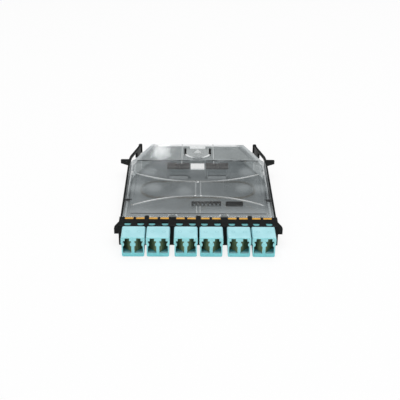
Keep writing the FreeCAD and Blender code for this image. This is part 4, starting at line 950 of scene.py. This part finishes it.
# place s of the way round two hubs: straight runs of 2 reach joined by half circles
def roundHubs(s, reach, radius):
    straight, half = 2 * reach, np.pi * radius
    s = np.mod(s, 2 * straight + 2 * half)
    runs = [s < straight, (s >= straight) & (s < straight + half),
            (s >= straight + half) & (s < 2 * straight + half)]
    a = (s - straight) / radius
    b = (s - 2 * straight - half) / radius
    x = np.select(runs, [s - reach, reach + radius * np.sin(a), reach - (s - straight - half)],
                  -reach - radius * np.sin(b))
    y = np.select(runs, [-radius + 0 * s, -radius * np.cos(a), radius + 0 * s], radius * np.cos(b))
    return x, y


# a translucent coat in one tone, with slow stripes along it
def fibreCoat(name, tone, setting):
    finish, tree, output = emptyFinish(name)
    shader = addShader(tree, Roughness=setting["roughness"])
    stripes = cloud(tree, objectPlace(tree), setting["stripeSize"], 2.0)
    first = srgb(tone)
    second = tuple(c * setting["darker"] for c in first)
    striped = twoTone(tree, spread(tree, stripes, 0.3, 0.7, 0.0, 1.0), first, second)
    tree.links.new(striped, shader.inputs["Base Color"])
    through = addNode(tree, "BsdfTransparent", {"Color": (1, 1, 1, 1)})
    mix = addNode(tree, "MixShader", {0: setting["clear"], 1: shader.outputs[0], 2: through.outputs[0]})
    tree.links.new(mix.outputs[0], output.inputs["Surface"])
    return finish


# a curve out of the plug, then nearly once round both hubs and half a straight run more
def fibrePath(number, low, high, rng, setting):
    hubBack = (low.y + high.y) / 2
    reach = (high.x - low.x) / 2 - (high.y - low.y) / 2
    plugLow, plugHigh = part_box("inner_plug_%d" % number)
    across = (plugLow.x + plugHigh.x) / 2
    start = np.array([across, plugHigh.y - setting["bootInset"], plugLow.z + setting["bootHeight"]])
    way = 1 if across < 0 else -1
    radius = (high.y - low.y) / 2 - setting["hubClear"] + rng.uniform(*setting["radiusScatter"])
    lift = (low.z + high.z) / 2 + rng.uniform(*setting["liftScatter"])
    joinAt = reach + np.clip(way * across + setting["joinBack"], -reach, reach)
    turn = 2 * (2 * reach + np.pi * radius)
    s = np.linspace(joinAt, joinAt + turn * rng.uniform(*setting["turnShare"]) + reach, setting["steps"])
    sway, swayRate = setting["sway"]
    wave, waveRate = setting["wave"]
    x, y = roundHubs(s, reach, radius + sway * np.sin(s * swayRate + number))
    loop = np.stack([way * x, hubBack + y, lift + wave * np.sin(s * waveRate + number)], -1)
    pull = setting["pull"]
    ahead = (loop[1] - loop[0]) / np.linalg.norm(loop[1] - loop[0])
    entry = hermite(start, np.array([0, pull, 0]), loop[0], ahead * pull, setting["entrySteps"])
    return np.concatenate([entry[:-1], loop])


def makeFibres(setting):
    low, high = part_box("pigtail_loop")
    rng = np.random.default_rng(setting["seed"])
    finishes = [fibreCoat("fibreCoat%d" % i, tone, setting) for i, tone in enumerate(setting["tones"])]
    made, lengths = [], []
    for number in range(1, 13):
        path = fibrePath(number, low, high, rng, setting)
        lengths.append(np.linalg.norm(np.diff(path, axis=0), axis=1).sum())
        tube = tubeAlong(path, setting["radius"], setting["endRadius"], setting["sides"])
        piece = meshFromGrid("pigtail_%d" % number, tube, closeV=True)
        piece.data.materials.append(finishes[number % len(finishes)])
        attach(piece, "housing")
        made.append(piece)
    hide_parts("pigtail_loop")
    print("fibres laid, from %.3f to %.3f m long" % (min(lengths), max(lengths)))


makeFibres(fibreSetting)
